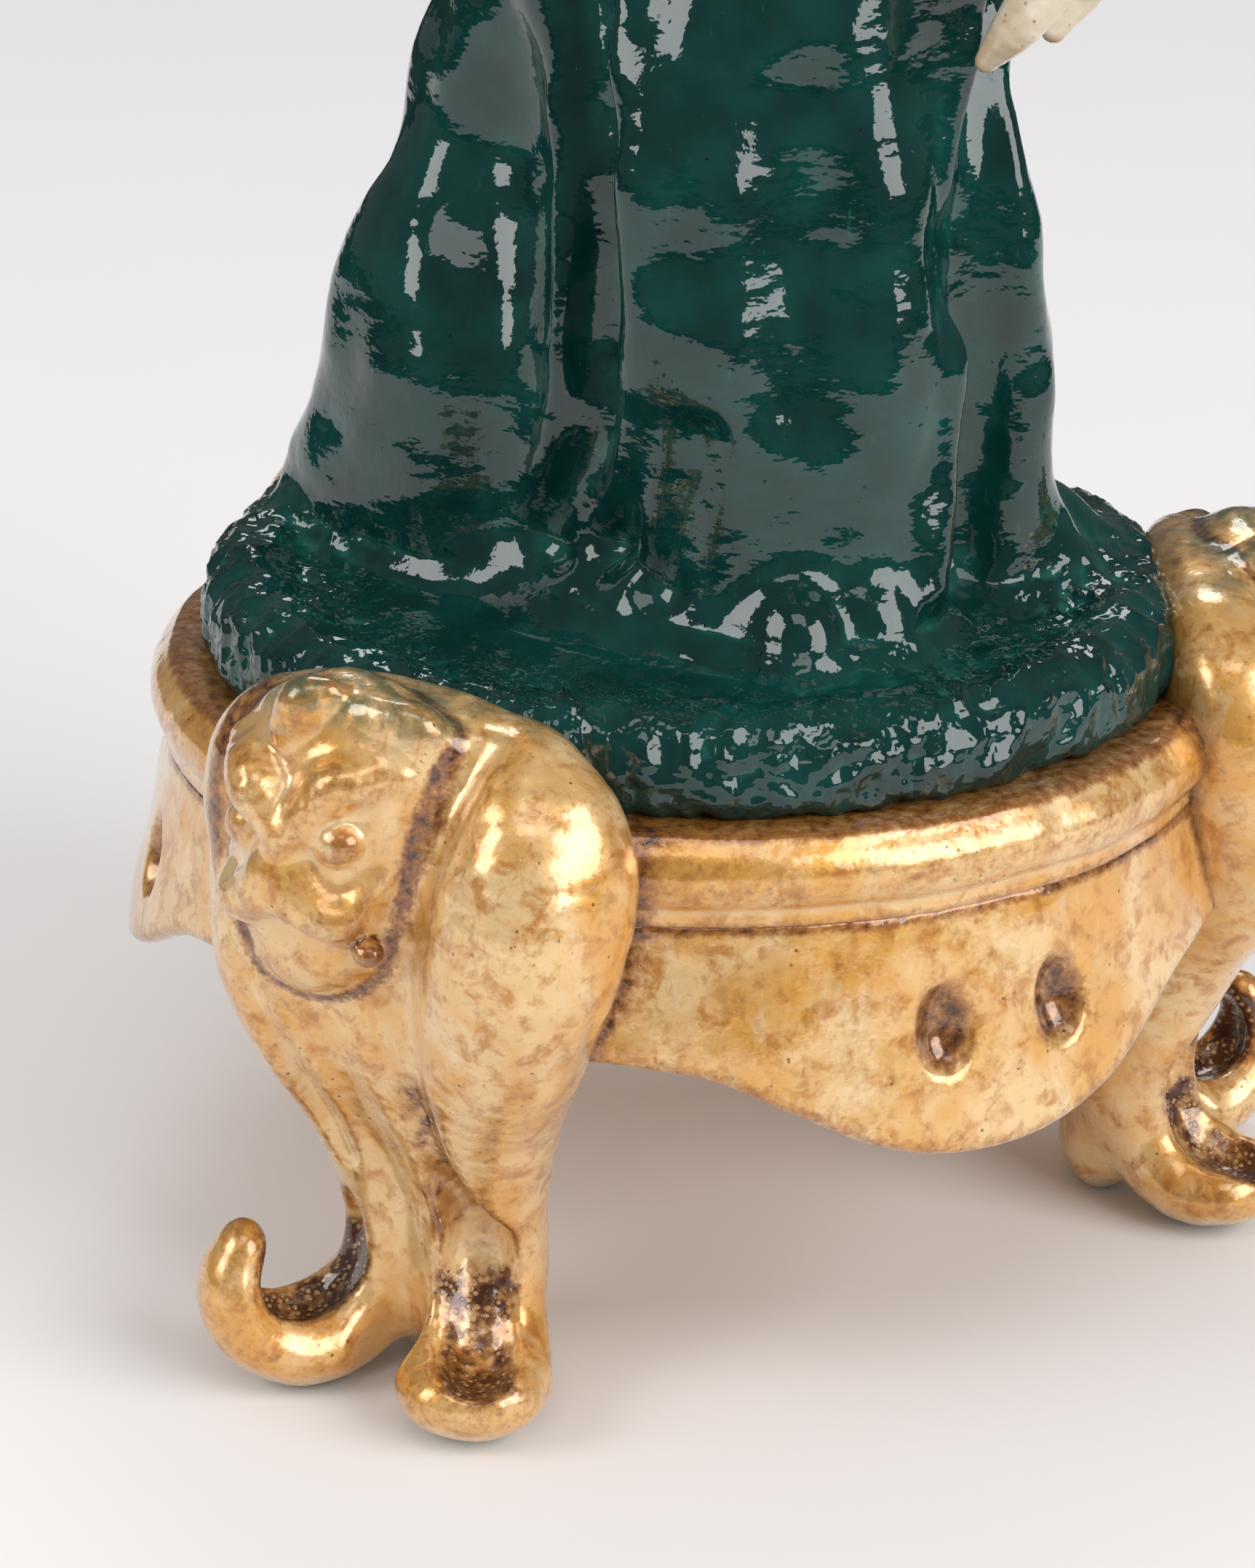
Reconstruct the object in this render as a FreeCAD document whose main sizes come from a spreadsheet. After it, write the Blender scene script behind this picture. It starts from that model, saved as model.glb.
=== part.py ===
import FreeCAD, Part
import os

from FreeCAD import Placement, Rotation, Vector

# A glazed earthenware foo dog that sits on a round rock pad, on a stand with three masked legs.
# Millimetres, +Z up. The origin is the middle of the floor under the statue's bounding box.
# An azimuth is counted from -Y (the front of the stand) towards +X.

doc = FreeCAD.newDocument("foo_dog_statue")
sheet = doc.addObject("Spreadsheet::Sheet", "dims")

UP = Vector(0, 0, 1)
SIDES = {"right": -1, "left": 1}
LEG_AZIMUTHS = {"right": -60, "left": 60, "rear": 180}
APRON_AZIMUTHS = {"front": 0, "left": 120, "right": -120}

# Single dimensions, one sheet row each.
SINGLES = {
    "axis_y": -6,
    "dog_turn": 20,
    "dog_shift": 8,
    "plate_under": 70,
    "plate_top": 77,
    "plate_radius": 66.4,
    "recess_radius": 59,
    "rim_foot": 65,
    "band_ring": 64,
    "band_tube": 5.2,
    "band_centre": 71.7,
    "bead_ring": 65.6,
    "bead_tube": 1.9,
    "bead_centre": 66.9,
    "vent_radius": 1.6,
    "pad_radius": 61,
    "pad_shoulder": 84,
    "pad_inner_radius": 55,
    "pad_top": 86.5,
    "pad_roll_ring": 56,
    "pad_roll_tube": 5.8,
    "pad_roll_centre": 83.2,
    "apron_angle": 84,
    "apron_foot": 35,
    "apron_outer_low": 74,
    "apron_outer_high": 67.4,
    "apron_wall": 5.5,
    "apron_straight_edge": 48.5,
    "lobe_centre": 54,
    "lobe_wide": 29,
    "lobe_deep": 40,
    "lobe_high": 18,
    "dimple_wide": 3.7,
    "dimple_deep": 4,
    "dimple_high": 5.8,
    "dimple_height": 53,
    "dimple_ring": 71.6,
    "dimple_spread": 6.8,
    "toe_base_ring": 60,
    "toe_base_side": 4,
    "toe_splay": 33,
    "toe_bend_out": 10,
    "toe_bend_radius": 16,
    "toe_low": 5.2,
    "cavity_wall": 6,
    "cavity_floor": 93,
    "cavity_roof": 178,
    "skull_wall": 6,
    "tooth_base": 2.1,
    "tooth_tip": 0.6,
    "tooth_height": 6,
    "tooth_arch_wide": 12.5,
    "tooth_arch_deep": 10,
    "tooth_arch_y": -47,
    "tooth_upper_root": 203,
    "tooth_lower_root": 188,
}

# Turn of each apron's pair of dimples away from the middle of its lobe, in degrees.
DIMPLE_TURNS = {"front": 1.5, "left": 4, "right": 8}

# Ellipsoids: centre x, y, z and half sizes wide (X), deep (Y), high (Z).
ELLIPSOIDS = {
    "mask_brow": (0, -73, 82, 16, 10, 11),
    "mask_chin": (0, -73.5, 70, 15, 9.5, 12),
    "front_paw": (16.5, -25, 86.5, 16, 16, 12),
    "hind_paw": (27, -1, 86.5, 10, 17, 10),
    "haunch": (22, 22, 113, 16, 30, 31),
    "cranium": (0, -20, 218, 30, 30, 30),
    "muzzle": (0, -46, 210, 20, 17, 12),
    "jaw": (0, -41, 186, 17, 19, 8),
    "tongue": (0, -43, 193, 8, 11, 3.5),
    "nose": (0, -62, 214, 10, 6, 7),
    "eye": (12.5, -46, 227, 6.5, 6.5, 6.5),
    "brow": (12.5, -43, 235, 12, 7, 5),
    "ear": (32, -13, 233, 6, 9, 15),
    "crown": (0, -16, 249, 13, 14, 15),
    "mane_back": (0, 6, 213, 33, 25, 36),
    "mane_side": (27, -4, 197, 12, 22, 26),
    "beard": (0, -45, 174, 12, 9, 14),
}

# Lofts through flat ellipses: centre x, y, z and half sizes wide (X), deep (Y).
LOFTS = {
    "torso": (
        (0, 20, 86.5, 28, 38),
        (0, 18, 110, 29, 39),
        (0, 12, 135, 29, 39),
        (0, 4, 160, 28, 36),
        (0, -4, 180, 25, 29),
        (0, -8, 192, 19, 21),
    ),
    "front_leg": (
        (16, -22, 86.5, 15.5, 18),
        (16, -21, 108, 15, 17),
        (16, -19, 132, 15, 18),
        (15, -14, 156, 15, 20),
        (12, -10, 172, 11, 15),
    ),
    "tail": (
        (6, 48, 86.5, 11, 7),
        (8, 50, 108, 12, 8),
        (8, 47.5, 135, 12, 8.5),
        (6, 40, 162, 11, 8),
        (4, 32, 184, 6, 4),
    ),
    "leg": (
        (0, -59, 0, 12.5, 8),
        (0, -58, 14, 12.5, 8),
        (0, -59, 26, 13, 8),
        (0, -62, 38, 16, 9),
        (0, -66, 50, 23, 10),
        (0, -68, 62, 29, 11),
        (0, -68, 76, 29.5, 11),
        (0, -67, 86, 25, 9),
        (0, -66, 92, 15, 6),
    ),
}

# Sections along one curled toe: turn along its bend in degrees, half width, half thickness.
TOE_SECTIONS = (
    (-35, 8.5, 6.5),
    (0, 9, 5.6),
    (30, 8, 5.2),
    (60, 6.5, 4.6),
    (88, 3.5, 3),
)


def fill_sheet():
    """Write every driving dimension to the sheet, with an alias."""
    rows = dict(SINGLES)
    for name, values in ELLIPSOIDS.items():
        for part, value in zip(("x", "y", "z", "wide", "deep", "high"), values):
            rows[f"{name}_{part}"] = value
    for name, sections in LOFTS.items():
        for number, values in enumerate(sections, 1):
            for part, value in zip(("x", "y", "z", "wide", "deep"), values):
                rows[f"{name}_{number}_{part}"] = value
    for number, values in enumerate(TOE_SECTIONS, 1):
        for part, value in zip(("turn", "wide", "thick"), values):
            rows[f"toe_{number}_{part}"] = value
    for row, (alias, value) in enumerate(rows.items(), 1):
        sheet.set(f"A{row}", alias)
        sheet.set(f"B{row}", str(value))
        sheet.setAlias(f"B{row}", alias)
    doc.recompute()


def cell(alias):
    """Read one dimension from the sheet."""
    return float(sheet.get(alias))


def bind(item, **sizes):
    """Bind an object's sizes to expressions in the sheet's aliases."""
    for prop, expression in sizes.items():
        item.setExpression(prop, expression)
    return item


def stand_frame(azimuth=0):
    """The stand's axis on the floor, turned so that its -Y faces the azimuth."""
    return Placement(Vector(0, cell("axis_y"), 0), Rotation(UP, azimuth))


def dog_frame():
    """The dog's middle plane: its own -Y is the way it faces, its right side is -X."""
    shift = Placement(Vector(cell("dog_shift"), 0, 0), Rotation())
    return stand_frame(cell("dog_turn")).multiply(shift)


def put(item, frame, x, y, z, rotation=None):
    """Place an object at a point of a frame."""
    item.Placement = frame.multiply(Placement(Vector(x, y, z), rotation or Rotation()))
    return item


def primitive(kind, name, frame, height=0.0, **sizes):
    """A Part primitive on the frame's axis, bound to the sheet."""
    item = doc.addObject(f"Part::{kind}", name)
    bind(item, **sizes)
    return put(item, frame, 0, 0, height)


def ellipsoid(name, key, frame, side=1, upper_half=False):
    """One ellipsoid of the table, mirrored in x, with its seam still outwards, when side is -1."""
    item = doc.addObject("Part::Ellipsoid", name)
    item.Angle1 = 0 if upper_half else -90
    bind(item, Radius1=f"dims.{key}_high", Radius2=f"dims.{key}_wide", Radius3=f"dims.{key}_deep")
    seam = Rotation(UP, 0 if side == 1 else 180)
    return put(item, frame, side * cell(f"{key}_x"), cell(f"{key}_y"), cell(f"{key}_z"), seam)


def inner_ellipsoid(name, key, frame, wall):
    """The same ellipsoid, smaller by a wall thickness all round."""
    item = doc.addObject("Part::Ellipsoid", name)
    sizes = {"Radius1": "high", "Radius2": "wide", "Radius3": "deep"}
    bind(item, **{prop: f"dims.{key}_{part} - dims.{wall}" for prop, part in sizes.items()})
    return put(item, frame, cell(f"{key}_x"), cell(f"{key}_y"), cell(f"{key}_z"))


def ellipse(name, half_x, half_y, less=""):
    """A flat ellipse given by two sheet expressions; its longer half size is its major radius."""
    item = doc.addObject("Part::Ellipse", name)
    lies_along_y = cell(half_y) > cell(half_x)
    major, minor = (half_y, half_x) if lies_along_y else (half_x, half_y)
    bind(item, MajorRadius=f"dims.{major}{less}", MinorRadius=f"dims.{minor}{less}")
    return item, Rotation(UP, 90 if lies_along_y else 0)


def loft_solid(name, sections):
    item = doc.addObject("Part::Loft", name)
    item.Sections = sections
    item.Solid = True
    return item


def loft(name, key, frame, side=1, less=""):
    """A solid through the table's ellipses, mirrored in x when side is -1."""
    sections = []
    for number in range(1, len(LOFTS[key]) + 1):
        row = f"{key}_{number}"
        item, turn = ellipse(f"{name}_section_{number}", f"{row}_wide", f"{row}_deep", less)
        put(item, frame, side * cell(f"{row}_x"), cell(f"{row}_y"), cell(f"{row}_z"), turn)
        sections.append(item)
    return loft_solid(name, sections)


def fuse(name, parts):
    item = doc.addObject("Part::MultiFuse", name)
    item.Shapes = parts
    return item


def boolean(kind, name, base, tool):
    item = doc.addObject(f"Part::{kind}", name)
    item.Base = base
    item.Tool = tool
    return item


def trim(name, base, tools):
    """Cut a piece back from each of the pieces that it is luted to."""
    for number, tool in enumerate(tools, 1):
        base = boolean("Cut", f"{name}_trim_{number}", base, tool)
    return base


def name_piece(item, label):
    item.Label = label
    return item


def make_stand_top():
    """Round plate with a convex band and a bead round its edge, and a recess under it."""
    frame = stand_frame()
    plate = primitive("Cylinder", "plate", frame, cell("rim_foot"),
                      Radius="dims.plate_radius", Height="dims.plate_top - dims.rim_foot")
    band = primitive("Torus", "band", frame, cell("band_centre"),
                     Radius1="dims.band_ring", Radius2="dims.band_tube")
    bead = primitive("Torus", "bead", frame, cell("bead_centre"),
                     Radius1="dims.bead_ring", Radius2="dims.bead_tube")
    recess = primitive("Cylinder", "recess", frame, cell("rim_foot"),
                       Radius="dims.recess_radius", Height="dims.plate_under - dims.rim_foot")
    vent = primitive("Cylinder", "plate_vent", frame, cell("rim_foot"),
                     Radius="dims.vent_radius", Height="dims.pad_top - dims.rim_foot")
    return trim("stand_top", fuse("moulded_plate", [plate, band, bead]), [recess, vent])


def make_pad():
    """Rock pad: a low disc with a rolled edge, pierced by the vent."""
    frame = stand_frame()
    disc = primitive("Cylinder", "pad_disc", frame, cell("plate_top"),
                     Radius="dims.pad_radius", Height="dims.pad_shoulder - dims.plate_top")
    middle = primitive("Cylinder", "pad_middle", frame, cell("plate_top"),
                       Radius="dims.pad_inner_radius", Height="dims.pad_top - dims.plate_top")
    roll = primitive("Torus", "pad_roll", frame, cell("pad_roll_centre"),
                     Radius1="dims.pad_roll_ring", Radius2="dims.pad_roll_tube")
    vent = primitive("Cylinder", "pad_vent", frame, cell("plate_top"),
                     Radius="dims.vent_radius", Height="dims.pad_top - dims.plate_top")
    return trim("pad", fuse("pad_body", [disc, middle, roll]), [vent])


def make_toe(name, frame):
    """One toe, which runs out along the frame's -Y and curls up to a rounded tip."""
    sections = []
    centre = cell("toe_low") + cell("toe_bend_radius")
    for number in range(1, len(TOE_SECTIONS) + 1):
        turn = cell(f"toe_{number}_turn")
        item, spin = ellipse(f"{name}_section_{number}", f"toe_{number}_wide", f"toe_{number}_thick")
        arm = Rotation(Vector(-1, 0, 0), turn).multVec(Vector(0, 0, -cell("toe_bend_radius")))
        facing = Rotation(Vector(1, 0, 0), 90 - turn).multiply(spin)
        put(item, frame, 0, arm.y - cell("toe_bend_out"), arm.z + centre, facing)
        sections.append(item)
    return loft_solid(name, sections)


def make_leg(name, azimuth):
    """Cabriole leg with a broad knee and two splayed toes, cut flat where it stands."""
    frame = stand_frame(azimuth)
    parts = [loft(f"{name}_shaft", "leg", frame)]
    for side_name, side in SIDES.items():
        base = Vector(side * cell("toe_base_side"), -cell("toe_base_ring"), 0)
        splay = Placement(base, Rotation(UP, side * cell("toe_splay")))
        parts.append(make_toe(f"{name}_toe_{side_name}", frame.multiply(splay)))
    floor = doc.addObject("Part::Box", f"{name}_floor")
    bind(floor, Length="dims.toe_base_ring * 4", Width="dims.toe_base_ring * 4", Height="dims.toe_low")
    reach = 2 * cell("toe_base_ring")
    put(floor, stand_frame(), -reach, -reach, -cell("toe_low"))
    return boolean("Cut", f"{name}_body", fuse(f"{name}_whole", parts), floor)


def make_apron_slab(name, azimuth):
    """Flared slab between two legs, with a straight lower edge and one hanging lobe."""
    frame = stand_frame(azimuth)
    low = cell("apron_foot")
    start = Rotation(UP, -90 - cell("apron_angle") / 2)
    cones = []
    for layer, wall in (("outer", ""), ("inner", " - dims.apron_wall")):
        cone = doc.addObject("Part::Cone", f"{name}_{layer}")
        bind(cone, Radius1=f"dims.apron_outer_low{wall}", Radius2=f"dims.apron_outer_high{wall}",
             Height="dims.rim_foot - dims.apron_foot", Angle="dims.apron_angle")
        cones.append(put(cone, frame, 0, 0, low, start))
    slab = boolean("Cut", f"{name}_slab", *cones)
    straight = doc.addObject("Part::Box", f"{name}_straight")
    bind(straight, Length="dims.apron_outer_low * 2", Width="dims.apron_outer_low * 1.5",
         Height="dims.rim_foot - dims.apron_straight_edge")
    reach = cell("apron_outer_low")
    put(straight, frame, -reach, -1.5 * reach, cell("apron_straight_edge"))
    lobe = doc.addObject("Part::Ellipsoid", f"{name}_lobe")
    bind(lobe, Radius1="dims.lobe_high", Radius2="dims.lobe_wide", Radius3="dims.lobe_deep")
    put(lobe, frame, 0, -cell("apron_outer_high"), cell("lobe_centre"))
    outline = fuse(f"{name}_outline", [straight, lobe])
    return boolean("Common", f"{name}_lobed", slab, outline)


def make_dimples(name, azimuth, turn):
    """The two oval finger marks pressed into an apron."""
    dimples = []
    for side_name, side in SIDES.items():
        item = doc.addObject("Part::Ellipsoid", f"{name}_dimple_{side_name}")
        bind(item, Radius1="dims.dimple_high", Radius2="dims.dimple_wide", Radius3="dims.dimple_deep")
        frame = stand_frame(azimuth + turn + side * cell("dimple_spread"))
        dimples.append(put(item, frame, 0, -cell("dimple_ring"), cell("dimple_height")))
    return dimples


def make_stand():
    """The plate, the three legs with their masks, and the three aprons."""
    top = make_stand_top()
    pad = make_pad()
    shafts = {key: make_leg(f"leg_{key}", azimuth) for key, azimuth in LEG_AZIMUTHS.items()}
    pieces = {"stand_top": top, "pad": pad}
    for key, azimuth in LEG_AZIMUTHS.items():
        frame = stand_frame(azimuth)
        boss = fuse(f"mask_{key}_boss", [
            ellipsoid(f"mask_{key}_brow", "mask_brow", frame),
            ellipsoid(f"mask_{key}_chin", "mask_chin", frame),
        ])
        pieces[f"mask_{key}"] = trim(f"mask_{key}", boss, [shafts[key], top, pad])
        pieces[f"leg_{key}"] = trim(f"leg_{key}", shafts[key], [top, pad])
    for key, azimuth in APRON_AZIMUTHS.items():
        slab = make_apron_slab(f"apron_{key}", azimuth)
        tools = make_dimples(f"apron_{key}", azimuth, DIMPLE_TURNS[key])
        pieces[f"apron_{key}"] = trim(f"apron_{key}", slab, tools + list(shafts.values()))
    return pieces


def make_torso(frame, pad):
    """Hollow body, thrown thick, with its closed cavity reached only by the vent."""
    skin = loft("torso_skin", "torso", frame)
    bore = loft("torso_bore", "torso", frame, less=" - dims.cavity_wall")
    span = doc.addObject("Part::Box", "cavity_span")
    bind(span, Length="dims.plate_radius * 2", Width="dims.plate_radius * 2",
         Height="dims.cavity_roof - dims.cavity_floor")
    reach = cell("plate_radius")
    put(span, stand_frame(), -reach, -reach, cell("cavity_floor"))
    cavity = boolean("Common", "torso_cavity", bore, span)
    vent = primitive("Cylinder", "torso_vent", stand_frame(), cell("pad_top"),
                     Radius="dims.vent_radius", Height="dims.cavity_floor - dims.pad_top + 1")
    return skin, trim("torso", skin, [cavity, vent, pad])


def make_limbs(frame, skin, pad):
    """Two pillar-like front legs, two folded haunches and four paws."""
    pieces = {}
    for key, side in SIDES.items():
        leg = loft(f"front_leg_{key}_raw", "front_leg", frame, side)
        haunch = ellipsoid(f"haunch_{key}_raw", "haunch", frame, side)
        front_paw = ellipsoid(f"front_paw_{key}_raw", "front_paw", frame, side, upper_half=True)
        hind_paw = ellipsoid(f"hind_paw_{key}_raw", "hind_paw", frame, side, upper_half=True)
        pieces[f"front_leg_{key}"] = (leg, [skin])
        pieces[f"haunch_{key}"] = (haunch, [skin, leg, pad])
        pieces[f"front_paw_{key}"] = (front_paw, [skin, leg, pad])
        pieces[f"hind_paw_{key}"] = (hind_paw, [skin, leg, haunch, front_paw, pad])
    right_paw = pieces["front_paw_right"][0]
    right_leg = pieces["front_leg_right"][0]
    pieces["front_leg_left"][1].extend([right_leg])
    pieces["front_paw_left"][1].extend([right_leg, right_paw])
    pieces["front_paw_right"][1].extend([pieces["front_leg_left"][0]])
    return pieces


def make_teeth(name, frame, root, points_up):
    """A row of small cone teeth round an arch, as one group."""
    teeth = []
    flip = Rotation() if points_up else Rotation(Vector(1, 0, 0), 180)
    for number, turn in enumerate((-62, -37, -12, 12, 37, 62), 1):
        item = doc.addObject("Part::Cone", f"{name}_{number}")
        bind(item, Radius1="dims.tooth_base", Radius2="dims.tooth_tip", Height="dims.tooth_height")
        arm = Rotation(UP, turn).multVec(Vector(0, -1, 0))
        x = arm.x * cell("tooth_arch_wide")
        y = arm.y * cell("tooth_arch_deep") + cell("tooth_arch_y")
        teeth.append(put(item, frame, x, y, cell(root), flip))
    group = doc.addObject("Part::Compound", f"{name}_group")
    group.Links = teeth
    return group


def make_head(frame, skin):
    """Hollow head with the pieces that are luted onto it, each with what trims it."""
    outside = fuse("head_outside", [
        ellipsoid("cranium", "cranium", frame),
        ellipsoid("muzzle", "muzzle", frame),
    ])
    hollow = inner_ellipsoid("skull_hollow", "cranium", frame, "skull_wall")
    jaw = ellipsoid("jaw_raw", "jaw", frame)
    tongue = ellipsoid("tongue_raw", "tongue", frame)
    mane_back = ellipsoid("mane_back_raw", "mane_back", frame)
    crown = ellipsoid("crown_raw", "crown", frame)
    nose = ellipsoid("nose_raw", "nose", frame)
    beard = ellipsoid("beard_raw", "beard", frame)
    upper = make_teeth("upper_tooth", frame, "tooth_upper_root", False)
    lower = make_teeth("lower_tooth", frame, "tooth_lower_root", True)
    pieces = {
        "head": (outside, [hollow, skin, jaw]),
        "lower_jaw": (jaw, [skin]),
        "tongue": (tongue, [outside, jaw]),
        "teeth_upper": (upper, [outside]),
        "teeth_lower": (lower, [jaw]),
        "nose": (nose, [outside]),
        "beard": (beard, [outside, jaw, skin]),
        "mane_back": (mane_back, [outside, skin]),
        "crown": (crown, [outside, mane_back]),
    }
    for key, side in SIDES.items():
        eye = ellipsoid(f"eye_{key}_raw", "eye", frame, side)
        brow = ellipsoid(f"brow_{key}_raw", "brow", frame, side)
        ear = ellipsoid(f"ear_{key}_raw", "ear", frame, side)
        mane = ellipsoid(f"mane_{key}_raw", "mane_side", frame, side)
        pieces[f"eye_{key}"] = (eye, [outside])
        pieces[f"brow_{key}"] = (brow, [outside, eye, crown])
        pieces[f"ear_{key}"] = (ear, [outside, mane_back, brow])
        pieces[f"mane_{key}"] = (mane, [outside, skin, mane_back, jaw, ear])
    return pieces


def make_dog(pad):
    frame = dog_frame()
    skin, torso = make_torso(frame, pad)
    pieces = make_limbs(frame, skin, pad)
    pieces["tail"] = (loft("tail_raw", "tail", frame), [skin, pad])
    pieces.update(make_head(frame, skin))
    legs = [pieces[f"front_leg_{key}"][0] for key in SIDES]
    haunches = [pieces[f"haunch_{key}"][0] for key in SIDES]
    manes = [pieces[f"mane_{key}"][0] for key in SIDES]
    pieces["tail"][1].extend(haunches + [pieces["mane_back"][0]])
    pieces["beard"][1].extend(legs + manes)
    for key in SIDES:
        pieces[f"mane_{key}"][1].extend(legs)
    trimmed = {name: trim(name, base, tools) for name, (base, tools) in pieces.items()}
    trimmed["torso"] = torso
    return trimmed


def check(pieces):
    """Stop if any object failed to compute, or any piece is not a valid closed solid."""
    for item in doc.Objects:
        if "Invalid" in item.State or "Error" in item.State:
            raise RuntimeError(f"{item.Name} did not compute: {item.State}")
    for name, item in pieces.items():
        shape = item.Shape
        if shape.isNull() or not shape.isValid() or not shape.Solids:
            raise RuntimeError(f"{name} is not a valid solid")


def export(pieces):
    os.makedirs("parts", exist_ok=True)
    for name, item in pieces.items():
        item.Shape.exportStep(f"parts/{name}.step")
        print(f"{name}: {len(item.Shape.Solids)} solid(s), {item.Shape.Volume / 1000:.2f} cm3")


fill_sheet()
nodes = make_stand()
nodes.update(make_dog(nodes["pad"]))
for node_name, node in nodes.items():
    name_piece(node, node_name)
doc.recompute()
check(nodes)
export(nodes)
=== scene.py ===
import itertools
import math

import bpy
import mathutils
import numpy as np
import openvdb
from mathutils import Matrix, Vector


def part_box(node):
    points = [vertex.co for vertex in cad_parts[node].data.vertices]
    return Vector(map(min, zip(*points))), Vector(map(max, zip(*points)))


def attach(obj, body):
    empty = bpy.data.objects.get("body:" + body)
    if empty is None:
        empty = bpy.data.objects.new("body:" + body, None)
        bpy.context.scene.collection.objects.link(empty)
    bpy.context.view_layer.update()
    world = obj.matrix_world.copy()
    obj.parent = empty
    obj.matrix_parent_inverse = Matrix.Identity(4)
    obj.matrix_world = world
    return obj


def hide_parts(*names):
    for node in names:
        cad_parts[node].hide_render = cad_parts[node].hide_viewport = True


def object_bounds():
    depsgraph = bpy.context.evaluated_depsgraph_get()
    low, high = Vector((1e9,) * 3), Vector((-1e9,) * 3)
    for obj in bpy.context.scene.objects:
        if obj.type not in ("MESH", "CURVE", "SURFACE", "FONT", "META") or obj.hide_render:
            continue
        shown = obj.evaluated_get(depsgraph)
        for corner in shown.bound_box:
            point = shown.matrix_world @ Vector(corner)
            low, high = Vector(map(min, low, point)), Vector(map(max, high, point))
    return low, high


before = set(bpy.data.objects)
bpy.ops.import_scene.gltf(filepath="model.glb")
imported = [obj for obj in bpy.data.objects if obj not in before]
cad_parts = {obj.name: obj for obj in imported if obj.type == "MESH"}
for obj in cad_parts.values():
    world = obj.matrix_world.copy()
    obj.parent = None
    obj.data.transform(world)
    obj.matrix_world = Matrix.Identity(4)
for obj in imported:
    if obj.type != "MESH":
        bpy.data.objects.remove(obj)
cad_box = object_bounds()

# Sculpting is in millimetres. MM turns them into the scene's metres.
MM = 0.001
FAR = 9.0
STAND_LOW, STAND_HIGH = (np.array(corner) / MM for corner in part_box("stand_top"))
AXIS = (STAND_LOW + STAND_HIGH)[:2] / 2
LEG_AZIMUTHS = {"right": -60, "left": 60, "rear": 180}
LEG_HANDS = {"right": 1, "left": -1, "rear": 1}
APRON_AZIMUTHS = {"front": 0, "left": 120, "right": -120}
SIDES = {"right": -1, "left": 1}
DOG_TURN = 20
DOG_SHIFT = 8


# ---------------------------------------------------------------- clay: signed distance sculpting

def smooth_min(a, b, k):
    """The smaller of two distances, with a fillet of about k where they cross."""
    if k <= 0:
        return np.minimum(a, b)
    h = np.maximum(k - np.abs(a - b), 0) / k
    return np.minimum(a, b) - h * h * k * 0.25


def smooth_max(a, b, k):
    return -smooth_min(-a, -b, k)


def rod_distance(x, y, z, a, b, radius_a, radius_b):
    """Distance to a rod between two points, tapered from one radius to the other."""
    run = b - a
    p = (x - a[0], y - a[1], z - a[2])
    h = np.clip((p[0] * run[0] + p[1] * run[1] + p[2] * run[2]) / max(float(run @ run), 1e-9), 0, 1)
    gap = np.sqrt(sum((q - h * r) ** 2 for q, r in zip(p, run)))
    return gap - (radius_a + (radius_b - radius_a) * h)


def oval_distance(x, y, z, centre, radii, turn=None):
    """Distance to an oval; turn is a 3 by 3 matrix whose rows are its own axes."""
    p = [x - centre[0], y - centre[1], z - centre[2]]
    if turn is not None:
        p = [row[0] * p[0] + row[1] * p[1] + row[2] * p[2] for row in turn]
    near = np.sqrt(sum((q / r) ** 2 for q, r in zip(p, radii)))
    steep = np.sqrt(sum((q / (r * r)) ** 2 for q, r in zip(p, radii)))
    return near * (near - 1) / np.maximum(steep, 1e-6)


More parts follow.
